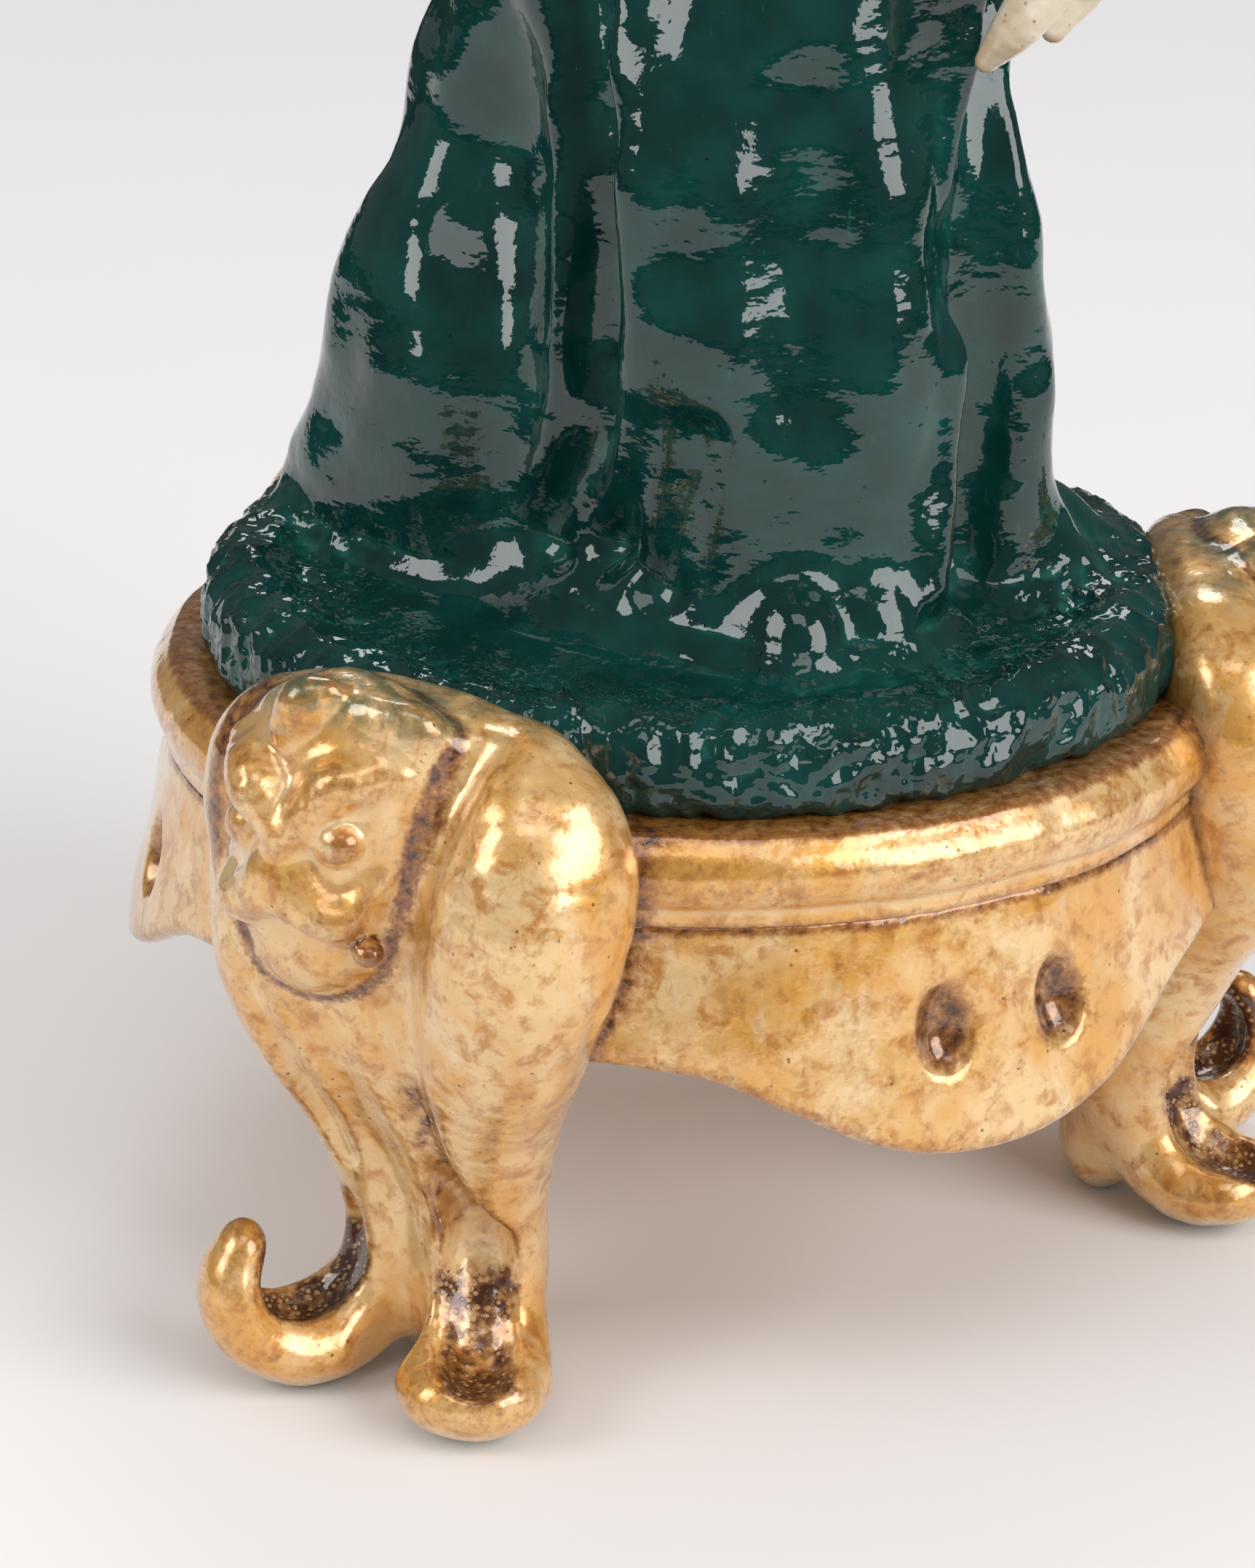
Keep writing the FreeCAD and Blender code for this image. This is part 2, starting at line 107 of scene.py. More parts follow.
class Clay:
    """A block of signed distances, in mm, that shapes are added to and cut from."""

    def __init__(self, low, high, step):
        self.low = np.array(low, dtype=np.float32)
        self.step = step * 1.0
        size = (np.array(high) - np.array(low)) / self.step
        self.count = np.ceil(size).astype(int) + 1
        self.d = np.full(self.count, FAR, np.float32)
        self.hub = (0.0, 0.0)

    def region(self, low, high):
        """Slices of the block between two corners, and the coordinates of its voxels."""
        first = np.floor((np.asarray(low) - self.low) / self.step).astype(int)
        last = np.ceil((np.asarray(high) - self.low) / self.step).astype(int) + 1
        first, last = np.clip(first, 0, self.count), np.clip(last, 0, self.count)
        if np.any(last <= first):
            return None, None
        axes = [self.low[i] + self.step * np.arange(first[i], last[i], dtype=np.float32) for i in range(3)]
        slices = tuple(slice(a, b) for a, b in zip(first, last))
        return slices, np.meshgrid(*axes, indexing="ij", sparse=True)

    def whole(self):
        return self.region(self.low, self.low + self.step * self.count)

    def apply(self, shape, low, high, fillet=0.0, cut=False):
        """Press one shape in, only where it can reach."""
        reach = fillet + 2.5
        slices, xyz = self.region(np.asarray(low) - reach, np.asarray(high) + reach)
        if slices is None:
            return
        new = shape(*xyz)
        old = self.d[slices]
        self.d[slices] = smooth_max(old, -new, fillet) if cut else smooth_min(old, new, fillet)

    def ball(self, centre, radii, fillet=0.0, turn=None, cut=False):
        """An ellipsoid; turn is a 3 by 3 matrix whose rows are its own axes."""
        centre, radii = np.array(centre, float), np.array(radii, float) * np.ones(3)

        reach = radii if turn is None else np.sqrt(((np.array(turn).T * radii) ** 2).sum(axis=1))
        self.apply(lambda x, y, z: oval_distance(x, y, z, centre, radii, turn),
                   centre - reach, centre + reach, fillet, cut)

    def rod(self, a, b, radius_a, radius_b, fillet=0.0, cut=False):
        """A round rod between two points, tapered from one radius to the other."""
        a, b = np.array(a, float), np.array(b, float)
        wide = max(radius_a, radius_b)
        self.apply(lambda x, y, z: rod_distance(x, y, z, a, b, radius_a, radius_b),
                   np.minimum(a, b) - wide, np.maximum(a, b) + wide, fillet, cut)

    def rope(self, points, radii, fillet=0.0, cut=False):
        """A round rope of changing radius along a smooth curve through the points."""
        path, sizes = curve(points, radii)

        def shape(x, y, z):
            near = None
            for a, b, size_a, size_b in zip(path, path[1:], sizes, sizes[1:]):
                part = rod_distance(x, y, z, a, b, size_a, size_b)
                near = part if near is None else np.minimum(near, part)
            return near

        wide = sizes.max()
        self.apply(shape, path.min(axis=0) - wide, path.max(axis=0) + wide, fillet, cut)

    def ring(self, radius, height, tube_r, tube_z, fillet=0.0, cut=False):
        """A torus of oval section about the vertical axis through the origin."""
        def shape(x, y, z):
            r = np.hypot(x - self.hub[0], y - self.hub[1]) - radius
            near = np.sqrt((r / tube_r) ** 2 + ((z - height) / tube_z) ** 2)
            return (near - 1) * min(tube_r, tube_z)

        out = radius + tube_r + 8
        self.apply(shape, (-out, -out, height - tube_z), (out, out, height + tube_z), fillet, cut)

    def disc(self, radius, low, high, fillet=0.0, edge=1.0, cut=False):
        """A round plate about the vertical axis, with rounded edges."""
        middle, half = (low + high) / 2, (high - low) / 2

        def shape(x, y, z):
            side = np.hypot(x - self.hub[0], y - self.hub[1]) - (radius - edge)
            flat = np.abs(z - middle) - (half - edge)
            outside = np.sqrt(np.maximum(side, 0) ** 2 + np.maximum(flat, 0) ** 2)
            return outside + np.minimum(np.maximum(side, flat), 0) - edge

        out = radius + 8
        self.apply(shape, (-out, -out, low), (out, out, high), fillet, cut)

    def stack(self, sections, fillet=0.0, power=2.0, turn=0.0, edge=1.0, cut=False):
        """A column through flat sections: z, centre x, centre y, half x, half y."""
        table = np.array(sections, float)
        cos, sin = math.cos(math.radians(turn)), math.sin(math.radians(turn))

        def shape(x, y, z):
            cx, cy, rx, ry = (spline(z, table[:, 0], table[:, i]) for i in (1, 2, 3, 4))
            rx, ry = np.maximum(rx, 0.5), np.maximum(ry, 0.5)
            px, py = x - cx, y - cy
            u, v = np.abs(px * cos + py * sin) / rx, np.abs(py * cos - px * sin) / ry
            near = (u ** power + v ** power) ** (1 / power)
            side = (near - 1) * np.minimum(rx, ry) + edge
            flat = np.maximum(table[0, 0] - z, z - table[-1, 0]) + edge
            outside = np.sqrt(np.maximum(side, 0) ** 2 + np.maximum(flat, 0) ** 2)
            return outside + np.minimum(np.maximum(side, flat), 0) - edge

        wide = np.hypot(table[:, 3], table[:, 4]).max()
        low = (table[:, 1].min() - wide, table[:, 2].min() - wide, table[0, 0])
        high = (table[:, 1].max() + wide, table[:, 2].max() + wide, table[-1, 0])
        self.apply(shape, low, high, fillet, cut)

    def half_space(self, normal, distance, fillet=0.0):
        """Keep only what lies on the inner side of a plane."""
        slices, xyz = self.whole()
        plane = sum(n * q for n, q in zip(normal, xyz)) - distance
        self.d = smooth_max(self.d, plane.astype(np.float32), fillet)

    def near(self, points):
        """The distance stored nearest to each point, or far where the block doesn't reach."""
        index = np.round((points - self.low) / self.step).astype(int)
        reached = np.all((index >= 0) & (index < self.count), axis=1)
        found = np.full(len(points), FAR, np.float32)
        found[reached] = self.d[tuple(index[reached].T)]
        return found

    def mesh(self):
        """Corner points in mm and quads of the surface."""
        grid = openvdb.FloatGrid(FAR)
        grid.copyFromArray(self.d)
        points, quads = grid.convertToQuads(0.0)
        return points * self.step + self.low, quads[:, ::-1]


def part_off(whole, own, others):
    """Cut one piece out of a whole; past its own ground it dips under its neighbours."""
    gap = np.full_like(own, -FAR)
    for other in others:
        gap = np.maximum(gap, (own - other) * 0.5)
    dip = 0.35 * np.clip(gap / 2.0, 0, 1) ** 2
    return np.maximum(whole + dip, gap - 2.4)


def spline(z, knots, values):
    """A smooth curve through the knots, flat beyond its ends (Catmull-Rom)."""
    z = np.clip(z, knots[0], knots[-1])
    i = np.clip(np.searchsorted(knots, z, side="right") - 1, 0, len(knots) - 2)
    slopes = np.gradient(values, knots)
    span = knots[i + 1] - knots[i]
    t = (z - knots[i]) / span
    a, b = values[i], values[i + 1]
    m, n = slopes[i] * span, slopes[i + 1] * span
    return a + t * (m + t * (3 * (b - a) - 2 * m - n + t * (2 * (a - b) + m + n)))


def curve(points, radii, per_span=5):
    """Points and radii along a smooth line through the given points."""
    points = np.array(points, float)
    radii = np.array(radii, float) * np.ones(len(points))
    knots = np.concatenate([[0], np.cumsum(np.linalg.norm(np.diff(points, axis=0), axis=1))])
    where = np.linspace(0, knots[-1], per_span * (len(points) - 1) + 1)
    path = np.stack([spline(where, knots, points[:, i]) for i in range(3)], axis=1)
    return path, spline(where, knots, radii)


def ripple(points, size, seed):
    """Smooth noise between -1 and 1 at points in mm, with lumps of about the given size."""
    lattice = np.random.default_rng(seed).uniform(-1, 1, (32, 32, 32)).astype(np.float32)
    scaled = np.asarray(points, np.float32) / np.float32(size)
    base = np.floor(scaled).astype(np.int32)
    part = scaled - base
    part = part * part * (3 - 2 * part)
    total = np.zeros(len(scaled), np.float32)
    for corner in itertools.product((0, 1), repeat=3):
        weight = np.prod([part[:, i] if c else 1 - part[:, i] for i, c in enumerate(corner)], axis=0)
        index = (base + np.array(corner)) % 32
        total += weight * lattice[index[:, 0], index[:, 1], index[:, 2]]
    return total


def normals(points, quads):
    """Unit normal of each corner point."""
    a, b, c, d = (points[quads[:, i]] for i in range(4))
    face = np.cross(c - a, d - b)
    total = np.zeros_like(points)
    for i in range(4):
        for axis in range(3):
            total[:, axis] += np.bincount(quads[:, i], face[:, axis], len(points))
    return total / np.maximum(np.linalg.norm(total, axis=1), 1e-9)[:, None]


def averaged(points, quads):
    """Each corner point's neighbours averaged."""
    total = np.zeros_like(points)
    count = np.zeros(len(points))
    for i in range(4):
        a, b = quads[:, i], quads[:, (i + 1) % 4]
        for near, far in ((a, b), (b, a)):
            count += np.bincount(near, minlength=len(points))
            for axis in range(3):
                total[:, axis] += np.bincount(near, points[far, axis], len(points))
    return total / np.maximum(count, 1)[:, None]


def hollows(points, quads, rounds):
    """How far each point lies below its smoothed surroundings, in mm: above 0 in a hollow."""
    smooth = points
    for _ in range(rounds):
        smooth = averaged(smooth, quads)
    return ((smooth - points) * normals(points, quads)).sum(axis=1)


def stand_to_world(points, azimuth=0.0):
    """From stand coordinates turned to an azimuth, into the frame, in mm."""
    cos, sin = math.cos(math.radians(azimuth)), math.sin(math.radians(azimuth))
    x = points[:, 0] * cos - points[:, 1] * sin + AXIS[0]
    y = points[:, 0] * sin + points[:, 1] * cos + AXIS[1]
    return np.stack([x, y, points[:, 2]], axis=1)


def dog_to_world(points):
    return stand_to_world(points + np.array([DOG_SHIFT, 0, 0]), DOG_TURN)


def inside(points):
    """Pull points that stand outside the CAD box back onto it."""
    return np.clip(points, np.array(cad_box[0]) / MM, np.array(cad_box[1]) / MM)


def add_piece(name, points, quads, material, node, rounds=8, stain_and_shade=None, pool=None):
    """A mesh object from world points in mm, with its hollows, stains and painted shade, and pools stored for the
    glaze.
    """
    points = inside(points)
    mesh = bpy.data.meshes.new(name)
    mesh.vertices.add(len(points))
    mesh.vertices.foreach_set("co", (points * MM).astype(np.float32).ravel())
    mesh.loops.add(4 * len(quads))
    mesh.loops.foreach_set("vertex_index", quads.astype(np.int32).ravel())
    mesh.polygons.add(len(quads))
    mesh.polygons.foreach_set("loop_start", np.arange(0, 4 * len(quads), 4, dtype=np.int32))
    mesh.update(calc_edges=True)
    mesh.validate()
    mesh.shade_smooth()
    for key, values in (("hollow", hollows(points, quads, rounds)), ("stain_and_shade", stain_and_shade), ("pool", pool)):
        if values is not None:
            layer = mesh.attributes.new(key, "FLOAT", "POINT")
            layer.data.foreach_set("value", values.astype(np.float32))
    mesh.materials.append(material)
    piece = bpy.data.objects.new(name, mesh)
    bpy.context.collection.objects.link(piece)
    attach(piece, "root")
    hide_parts(node)
    return piece


def crumple(points, quads, bumps):
    """Push points along their normals by noise: rows of size, height in mm and seed."""
    out = normals(points, quads)
    for size, height, seed in bumps:
        points = points + out * (height * ripple(points, size, seed))[:, None]
    return points


# ---------------------------------------------------------------- the stand

AMBER_BUMPS = ((9, 0.3, 1), (3.2, 0.1, 2))
MASK_BUMPS = ((5, 0.4, 3), (2.6, 0.16, 4))
DIMPLE_TURNS = {"front": 1.5, "left": 4, "right": 8}


def sculpt_stand_top():
    """Round plate with a convex band, a crease and a bead round its edge."""
    clay = Clay((-71, -71, 63), (71, 71, 80), 0.6)
    clay.disc(66.4, 65, 77, edge=0.8)
    clay.ring(64, 71.9, 5.0, 5.0, fillet=1.2)
    clay.ring(65.6, 66.9, 1.8, 1.8, fillet=0.4)
    clay.ring(69.6, 68.3, 0.8, 0.5, fillet=0.5, cut=True)
    clay.disc(59, 60, 70, fillet=0.8, cut=True)
    clay.rod((0, 0, 60), (0, 0, 82), 1.6, 1.6, cut=True)
    return clay.mesh()


def sculpt_apron(turn):
    """Flared wall between two legs, its lower edge hanging in one lobe, with two dimples."""
    clay = Clay((-52, -76, 34), (52, -40, 67), 0.5)
    slices, (x, y, z) = clay.whole()
    slope = (74 - 67.4) / 30
    lean = math.sqrt(1 + slope * slope)
    r = np.sqrt(x * x + y * y)
    bow = 67.4 + (65 - z) * slope
    skin = np.maximum(r - bow, bow - 5.3 - r) / lean
    angle = np.degrees(np.arctan2(x, -y))
    edge = spline(np.abs(angle), np.array([0, 6, 14, 21, 28, 35, 42]),
                  np.array([36.4, 37.0, 39.8, 44.2, 47.8, 49.2, 49.4]))
    wall = smooth_max(skin, edge - z, 2.6)
    wall = smooth_max(wall, z - 66.4, 0.6)
    clay.d[slices] = smooth_max(wall, (np.abs(angle) - 42) * 1.2, 0.5)
    for side in (-1, 1):
        at = math.radians(turn + side * 6.8)
        centre = (71.6 * math.sin(at), -71.6 * math.cos(at), 53)
        across = np.array([[math.cos(at), math.sin(at), 0], [-math.sin(at), math.cos(at), 0], [0, 0, 1]])
        clay.ball(centre, (3.9, 4.2, 6.0), fillet=1.0, turn=across, cut=True)
    return clay.mesh()


def blade(clay, path, side, widths, thicknesses, fillet):
    """A flat limb along a path: overlapping ovals that lie across it."""
    centres, wide = curve(path, widths, per_span=7)
    _, thick = curve(path, thicknesses, per_span=7)
    side = np.array(side, float)
    along = np.gradient(centres, axis=0)
    along /= np.linalg.norm(along, axis=1)[:, None]

    def shape(x, y, z):
        near = None
        for centre, run, w, t in zip(centres, along, wide, thick):
            up = np.cross(side, run)
            turn = (side, up / np.linalg.norm(up), run)
            part = oval_distance(x, y, z, centre, (w, t, t * 0.9 + 1), turn)
            near = part if near is None else smooth_min(near, part, 0.5)
        return near

    reach = wide.max() + 1
    clay.apply(shape, centres.min(axis=0) - reach, centres.max(axis=0) + reach, fillet)


def toe_point(side, base, out, height, across=0.0, splay=33):
    """A point on one toe's middle plane, or across it, in leg coordinates."""
    turn = math.radians(side * splay)
    x = base + out * math.sin(turn) + across * math.cos(turn)
    y = -60 - out * math.cos(turn) + across * math.sin(turn)
    return (x, y, height)


CURLED_TOE = ((-3, 23, 7.0, 5.6), (1.5, 12, 7.6, 5.2), (8, 6.4, 8.0, 5.4), (15.5, 5.6, 7.6, 5.2),
              (20.8, 9.2, 6.4, 4.4), (22.6, 14.5, 5.0, 3.6), (21.0, 19.3, 3.4, 2.8))
BLUNT_TOE = ((-2.5, 25, 7.6, 6.2), (2, 14, 8.4, 6.0), (7, 7.8, 9.2, 6.0), (12.5, 5.6, 9.4, 5.6),
             (16.5, 6.2, 8.2, 4.8))


def sculpt_toe(clay, side, rows):
    base = side * 5.0
    path = [toe_point(side, base, out, height) for out, height, _, _ in rows]
    turn = math.radians(side * 33)
    across = (math.cos(turn), math.sin(turn), 0)
    blade(clay, path, across, [row[2] for row in rows], [row[3] for row in rows], 3.5)


LEG_LOW, LEG_HIGH, LEG_STEP = (-34, -84, -2), (34, -47, 97), 0.46


def sculpt_leg():
    """Cabriole leg: a broad knee, two flutes down the shin, and two toes like curled gutters."""
    clay = Clay(LEG_LOW, LEG_HIGH, LEG_STEP)
    clay.stack([(34, 1, -60.5, 12, 7), (44, 0, -63, 17, 8), (54, 0, -65, 23, 9), (64, 1, -66, 27, 9.4),
                (76, 1, -66, 28, 9.4), (84, 0, -65.5, 24, 8), (90, -2, -65, 15, 6)], power=2.4, edge=3)
    clay.rope([(15, -65, 83), (18, -68.4, 76), (18.6, -70.4, 66), (15, -68.6, 54), (10, -64.4, 41),
               (7.4, -61.4, 29), (6.6, -60.5, 17)], [6, 9.4, 11, 10.6, 9.2, 8, 7.4], fillet=2.5)
    clay.rope([(-17, -66, 68), (-15, -68, 58), (-11.6, -66, 47), (-8.4, -62.6, 37), (-5.8, -60.6, 27),
               (-4.6, -60, 17)], [7, 9.4, 9.2, 8.2, 7.2, 7.0], fillet=2.5)
    clay.rope([(-2, -68, 62), (-1, -68.6, 52), (0.5, -66, 42), (2, -63, 32)], [5, 7.4, 6.4, 5], fillet=4)
    sculpt_toe(clay, -1, CURLED_TOE)
    sculpt_toe(clay, 1, BLUNT_TOE)
    clay.ball((0, -57, 8), (10, 6, 9), fillet=4)
    carve_leg(clay)
    clay.half_space((0, 0, -1), 0.0, fillet=0.8)
    return clay


# The crease between the mask and the shoulder of the knee.
SHOULDER_CREASE = [(2.5, -80.5, 62), (6.5, -79, 69), (9.5, -77, 78), (13, -72, 88)]

# The hollow down the right flute into its toe, and the one in the curled toe.
GUTTER = [(6.5, -77.4, 52), (6.0, -74.8, 43), (6.8, -71.2, 33)]
GUTTER += [toe_point(1, 5.6, out, height) for out, height in ((6.2, 24), (9.6, 16.6), (13.8, 12.6), (17.4, 12.0))]
SPOON = [toe_point(-1, -5, out, height) for out, height in ((5.6, 24), (8.8, 15.8), (13.2, 12.4), (16.6, 13.0), (18, 17))]


def carve_leg(clay):
    """The grooves of the shin and the gutters that run out along both toes."""
    clay.rope([(1.5, -80, 62), (-3.6, -79, 51), (-3.2, -75.4, 41), (-1.4, -72, 30), (0, -70.6, 19), (0.4, -70, 5)],
              [0.8, 1.6, 2.2, 2.8, 3.6, 4.4], fillet=2.4, cut=True)
    clay.rope(GUTTER, [0.6, 1.8, 2.6, 3.6, 4.6, 5.0, 4.0], fillet=2.0, cut=True)
    narrow = [(2.4, -73.0, 36)] + [toe_point(1, 5, out, height, -6.8) for out, height in ((6.6, 25), (10.2, 16), (14.0, 11))]
    clay.rope(narrow, [0.6, 1.4, 1.8, 1.2], fillet=1.2, cut=True)
    clay.rope(SPOON, [1.2, 3.2, 4.2, 3.8, 1.8], fillet=1.8, cut=True)
    clay.rope([(-14, -79.4, 56), (-12.4, -76, 47), (-9.6, -71.6, 38), (-7.4, -68.8, 30)], [0.6, 1.4, 1.4, 0.8],
              fillet=2.2, cut=True)
    clay.rope([(-20.5, -76.5, 70), (-17.5, -79.5, 58), (-11, -81, 53.5), (-4, -82, 54.5), (1.5, -81.5, 60)],
              [1.0, 1.3, 1.3, 1.3, 1.2], fillet=1.0, cut=True)
    clay.rope(SHOULDER_CREASE, [1.2, 1.8, 2.2, 2.0], fillet=2.2, cut=True)
    clay.ball((3.4, -79.4, 63.6), (1.7, 1.5, 1.4), fillet=0.3)


def sculpt_mask():
    """Round beast face that overhangs the knee: brows, eyes, cheeks, muzzle and a short mouth."""
    clay = Clay(LEG_LOW, LEG_HIGH, LEG_STEP)
    clay.ball((-4.5, -70.5, 80), (14.6, 8.6, 13))
    clay.ball((-6.5, -72.5, 68.5), (12.2, 8.2, 12), fillet=6)
    clay.ball((-6.5, -74, 61), (7.6, 5.6, 5.6), fillet=5)
    clay.rope([(-17, -66.5, 87), (-20, -68.2, 82), (-21.4, -69.6, 75), (-20.4, -70.6, 66), (-18.4, -71.6, 59)],
              [1.8, 2.4, 2.4, 2.1, 1.4], fillet=1.2)
    clay.rope([(-17, -74, 83.5), (-11.5, -79.6, 81.5), (-7, -81.2, 76.5)], [2.2, 3.0, 2.0], fillet=2.4)
    clay.rope([(-5.4, -81.2, 77), (-1.2, -79.2, 82.6), (4.4, -75.4, 84.6)], [2.0, 2.8, 2.0], fillet=2.4)
    clay.rope([(-9, -78, 88.6), (-7, -76.8, 91), (-4, -75.6, 92.6)], [1.4, 2.6, 1.6], fillet=3)
    clay.rope([(1, -74, 90.6), (5.4, -72.6, 89.6), (8.4, -70.4, 87)], [1.4, 2.6, 1.6], fillet=3)
    clay.ball((-13.4, -78.4, 75.6), (3.0, 2.4, 2.5), fillet=1.0)
    clay.ball((-0.4, -79.4, 76.4), (3.0, 2.4, 2.5), fillet=1.0)
    clay.ball((-7.2, -81.2, 71.2), (4.4, 2.6, 3.6), fillet=2.4)
    clay.rope([(-10, -81.4, 68.6), (-14.4, -79, 67), (-16.6, -75.4, 70)], [2.4, 2.8, 1.6], fillet=2.2)
    clay.rope([(-4.6, -81.4, 68.6), (0.4, -79.8, 67.4), (4, -76.8, 71)], [2.4, 2.8, 1.6], fillet=2.2)
    clay.rope([(-10.6, -82.6, 64.6), (-7, -83, 65.6), (-3.6, -82.4, 64.4)], [0.5, 1.0, 0.5], fillet=1.2, cut=True)
    clay.rope([(-18.6, -75.6, 86), (-19, -76.6, 77), (-17.6, -77, 67), (-14, -77.6, 60)], [0.6, 0.9, 0.9, 0.6],
              fillet=1.2, cut=True)
    clay.rope(SHOULDER_CREASE, [1.2, 1.8, 2.2, 2.0], fillet=2.2, cut=True)
    return clay


def fade(distance, full, gone):
    """1 where a distance is below full, falling to 0 where it is gone."""
    return np.clip((gone - distance) / (gone - full), 0, 1)


def path_distance(points, path):
    """Distance from each point to a curve through the path."""
    line, _ = curve(path, np.zeros(len(path)))
    return np.min([np.linalg.norm(points - spot, axis=1) for spot in line], axis=0)


def turned_back(points, azimuth, hand):
    """Stand points as they lie in a part that was mirrored by its hand and turned to an azimuth."""
    cos, sin = math.cos(math.radians(azimuth)), math.sin(math.radians(azimuth))
    across = points[:, 0] * cos + points[:, 1] * sin
    out = points[:, 1] * cos - points[:, 0] * sin
    return np.stack([hand * across, out, points[:, 2]], axis=1)


def seam_stain(points, clays):
    """Glaze runs brown along the lines where the legs and masks are luted on."""
    near = np.full(len(points), FAR)
    for key, azimuth in LEG_AZIMUTHS.items():
        local = turned_back(points, azimuth, LEG_HANDS[key])
        for clay in clays:
            near = np.minimum(near, np.abs(clay.near(local)))
    return fade(near, 0.3, 2.0)


def build_stand_top(amber, clays):
    points, quads = sculpt_stand_top()
    # Darker lines along the bottom edge, round 65.2 mm up, and the top edge, round 77 mm up.
    step = fade(np.abs(points[:, 2] - 65.2), 0.4, 1.3) + 0.8 * fade(np.abs(points[:, 2] - 77), 0.4, 1.4)
    stain_and_shade = np.clip(step + seam_stain(points, clays), 0, 1)
    add_piece("stand_top_glazed", crumple(stand_to_world(points), quads, AMBER_BUMPS), quads, amber,
              "stand_top", stain_and_shade=stain_and_shade)


def luted_skins(leg, mask):
    """The skins of the leg and its mask, smoothed into each other and parted where they meet."""
    whole = smooth_min(leg.d, mask.d, 1.8)
    skins = []
    for own, other in ((leg, mask), (mask, leg)):
        piece = Clay(LEG_LOW, LEG_HIGH, LEG_STEP)
        piece.d = part_off(whole, own.d, [other.d])
        points, quads = piece.mesh()
        apart = np.abs(own.near(points) - other.near(points))
        skins.append((points, quads, fade(apart, 0.5, 1.7)))
    return skins


def leg_pools(points):
    """Where dark glaze pools: the ends of both gutters, and faintly up the right one."""
    ends = np.minimum(path_distance(points, GUTTER[4:]), path_distance(points, SPOON[1:]) + 0.4)
    return np.maximum(fade(ends, 3.8, 6.2), 0.62 * fade(path_distance(points, GUTTER[1:5]), 1.6, 4.4))


def build_legs(amber, leg, mask):
    leg_skin, mask_skin = luted_skins(leg, mask)
    pool = leg_pools(leg_skin[0])
    for key, azimuth in LEG_AZIMUTHS.items():
        hand = LEG_HANDS[key]
        points, quads, stain_and_shade = leg_skin
        placed = crumple(stand_to_world(points * (hand, 1, 1), azimuth), quads[:, ::hand], AMBER_BUMPS)
        add_piece(f"leg_{key}_glazed", placed, quads[:, ::hand], amber, f"leg_{key}", stain_and_shade=stain_and_shade, pool=pool)
        points, quads, stain_and_shade = mask_skin
        placed = crumple(stand_to_world(points * (hand, 1, 1), azimuth), quads[:, ::hand], AMBER_BUMPS + MASK_BUMPS)
        add_piece(f"mask_{key}_glazed", placed, quads[:, ::hand], amber, f"mask_{key}", stain_and_shade=stain_and_shade)


def build_aprons(amber, clays):
    for key, azimuth in APRON_AZIMUTHS.items():
        turn = DIMPLE_TURNS[key]
        points, quads = sculpt_apron(turn)
        # Painted shade: the middle of each dimple is painted near black inside, with a brown ring of glaze round it.
        pits = np.full(len(points), FAR)
        for side in (-1, 1):
            at = math.radians(turn + side * 6.8)
            away = (points - (70 * math.sin(at), -70 * math.cos(at), 52.5)) / (1, 1, 1.5)
            pits = np.minimum(pits, np.linalg.norm(away, axis=1))
        there = stand_to_world(points, azimuth) - np.array([*AXIS, 0])
        # Darker along the apron's top, just under the rim of the stand top; brown seam stains; and the dimples' painted
        # shade.
        stain_and_shade = 0.9 * fade(65.8 - points[:, 2], 0.4, 1.6) + seam_stain(there, clays) + 1.1 * fade(pits, 2.8, 4.8)
        add_piece(f"apron_{key}_glazed", crumple(stand_to_world(points, azimuth), quads, AMBER_BUMPS), quads,
                  amber, f"apron_{key}", stain_and_shade=np.clip(stain_and_shade, 0, 1))


def build_stand(amber):
    leg, mask = sculpt_leg(), sculpt_mask()
    build_stand_top(amber, (leg, mask))
    build_legs(amber, leg, mask)
    build_aprons(amber, (leg,))


# ---------------------------------------------------------------- the green body and its pad

def quarter_point(across, out, height):
    """A dog point counted across and out from its front right quarter."""
    cos, sin = math.cos(math.radians(50)), math.sin(math.radians(50))
    return (across * cos - out * sin - DOG_SHIFT, -across * sin - out * cos, height)


BODY_LOW, BODY_HIGH, BODY_STEP = (-76, -68, 75), (60, 68, 196), 0.8


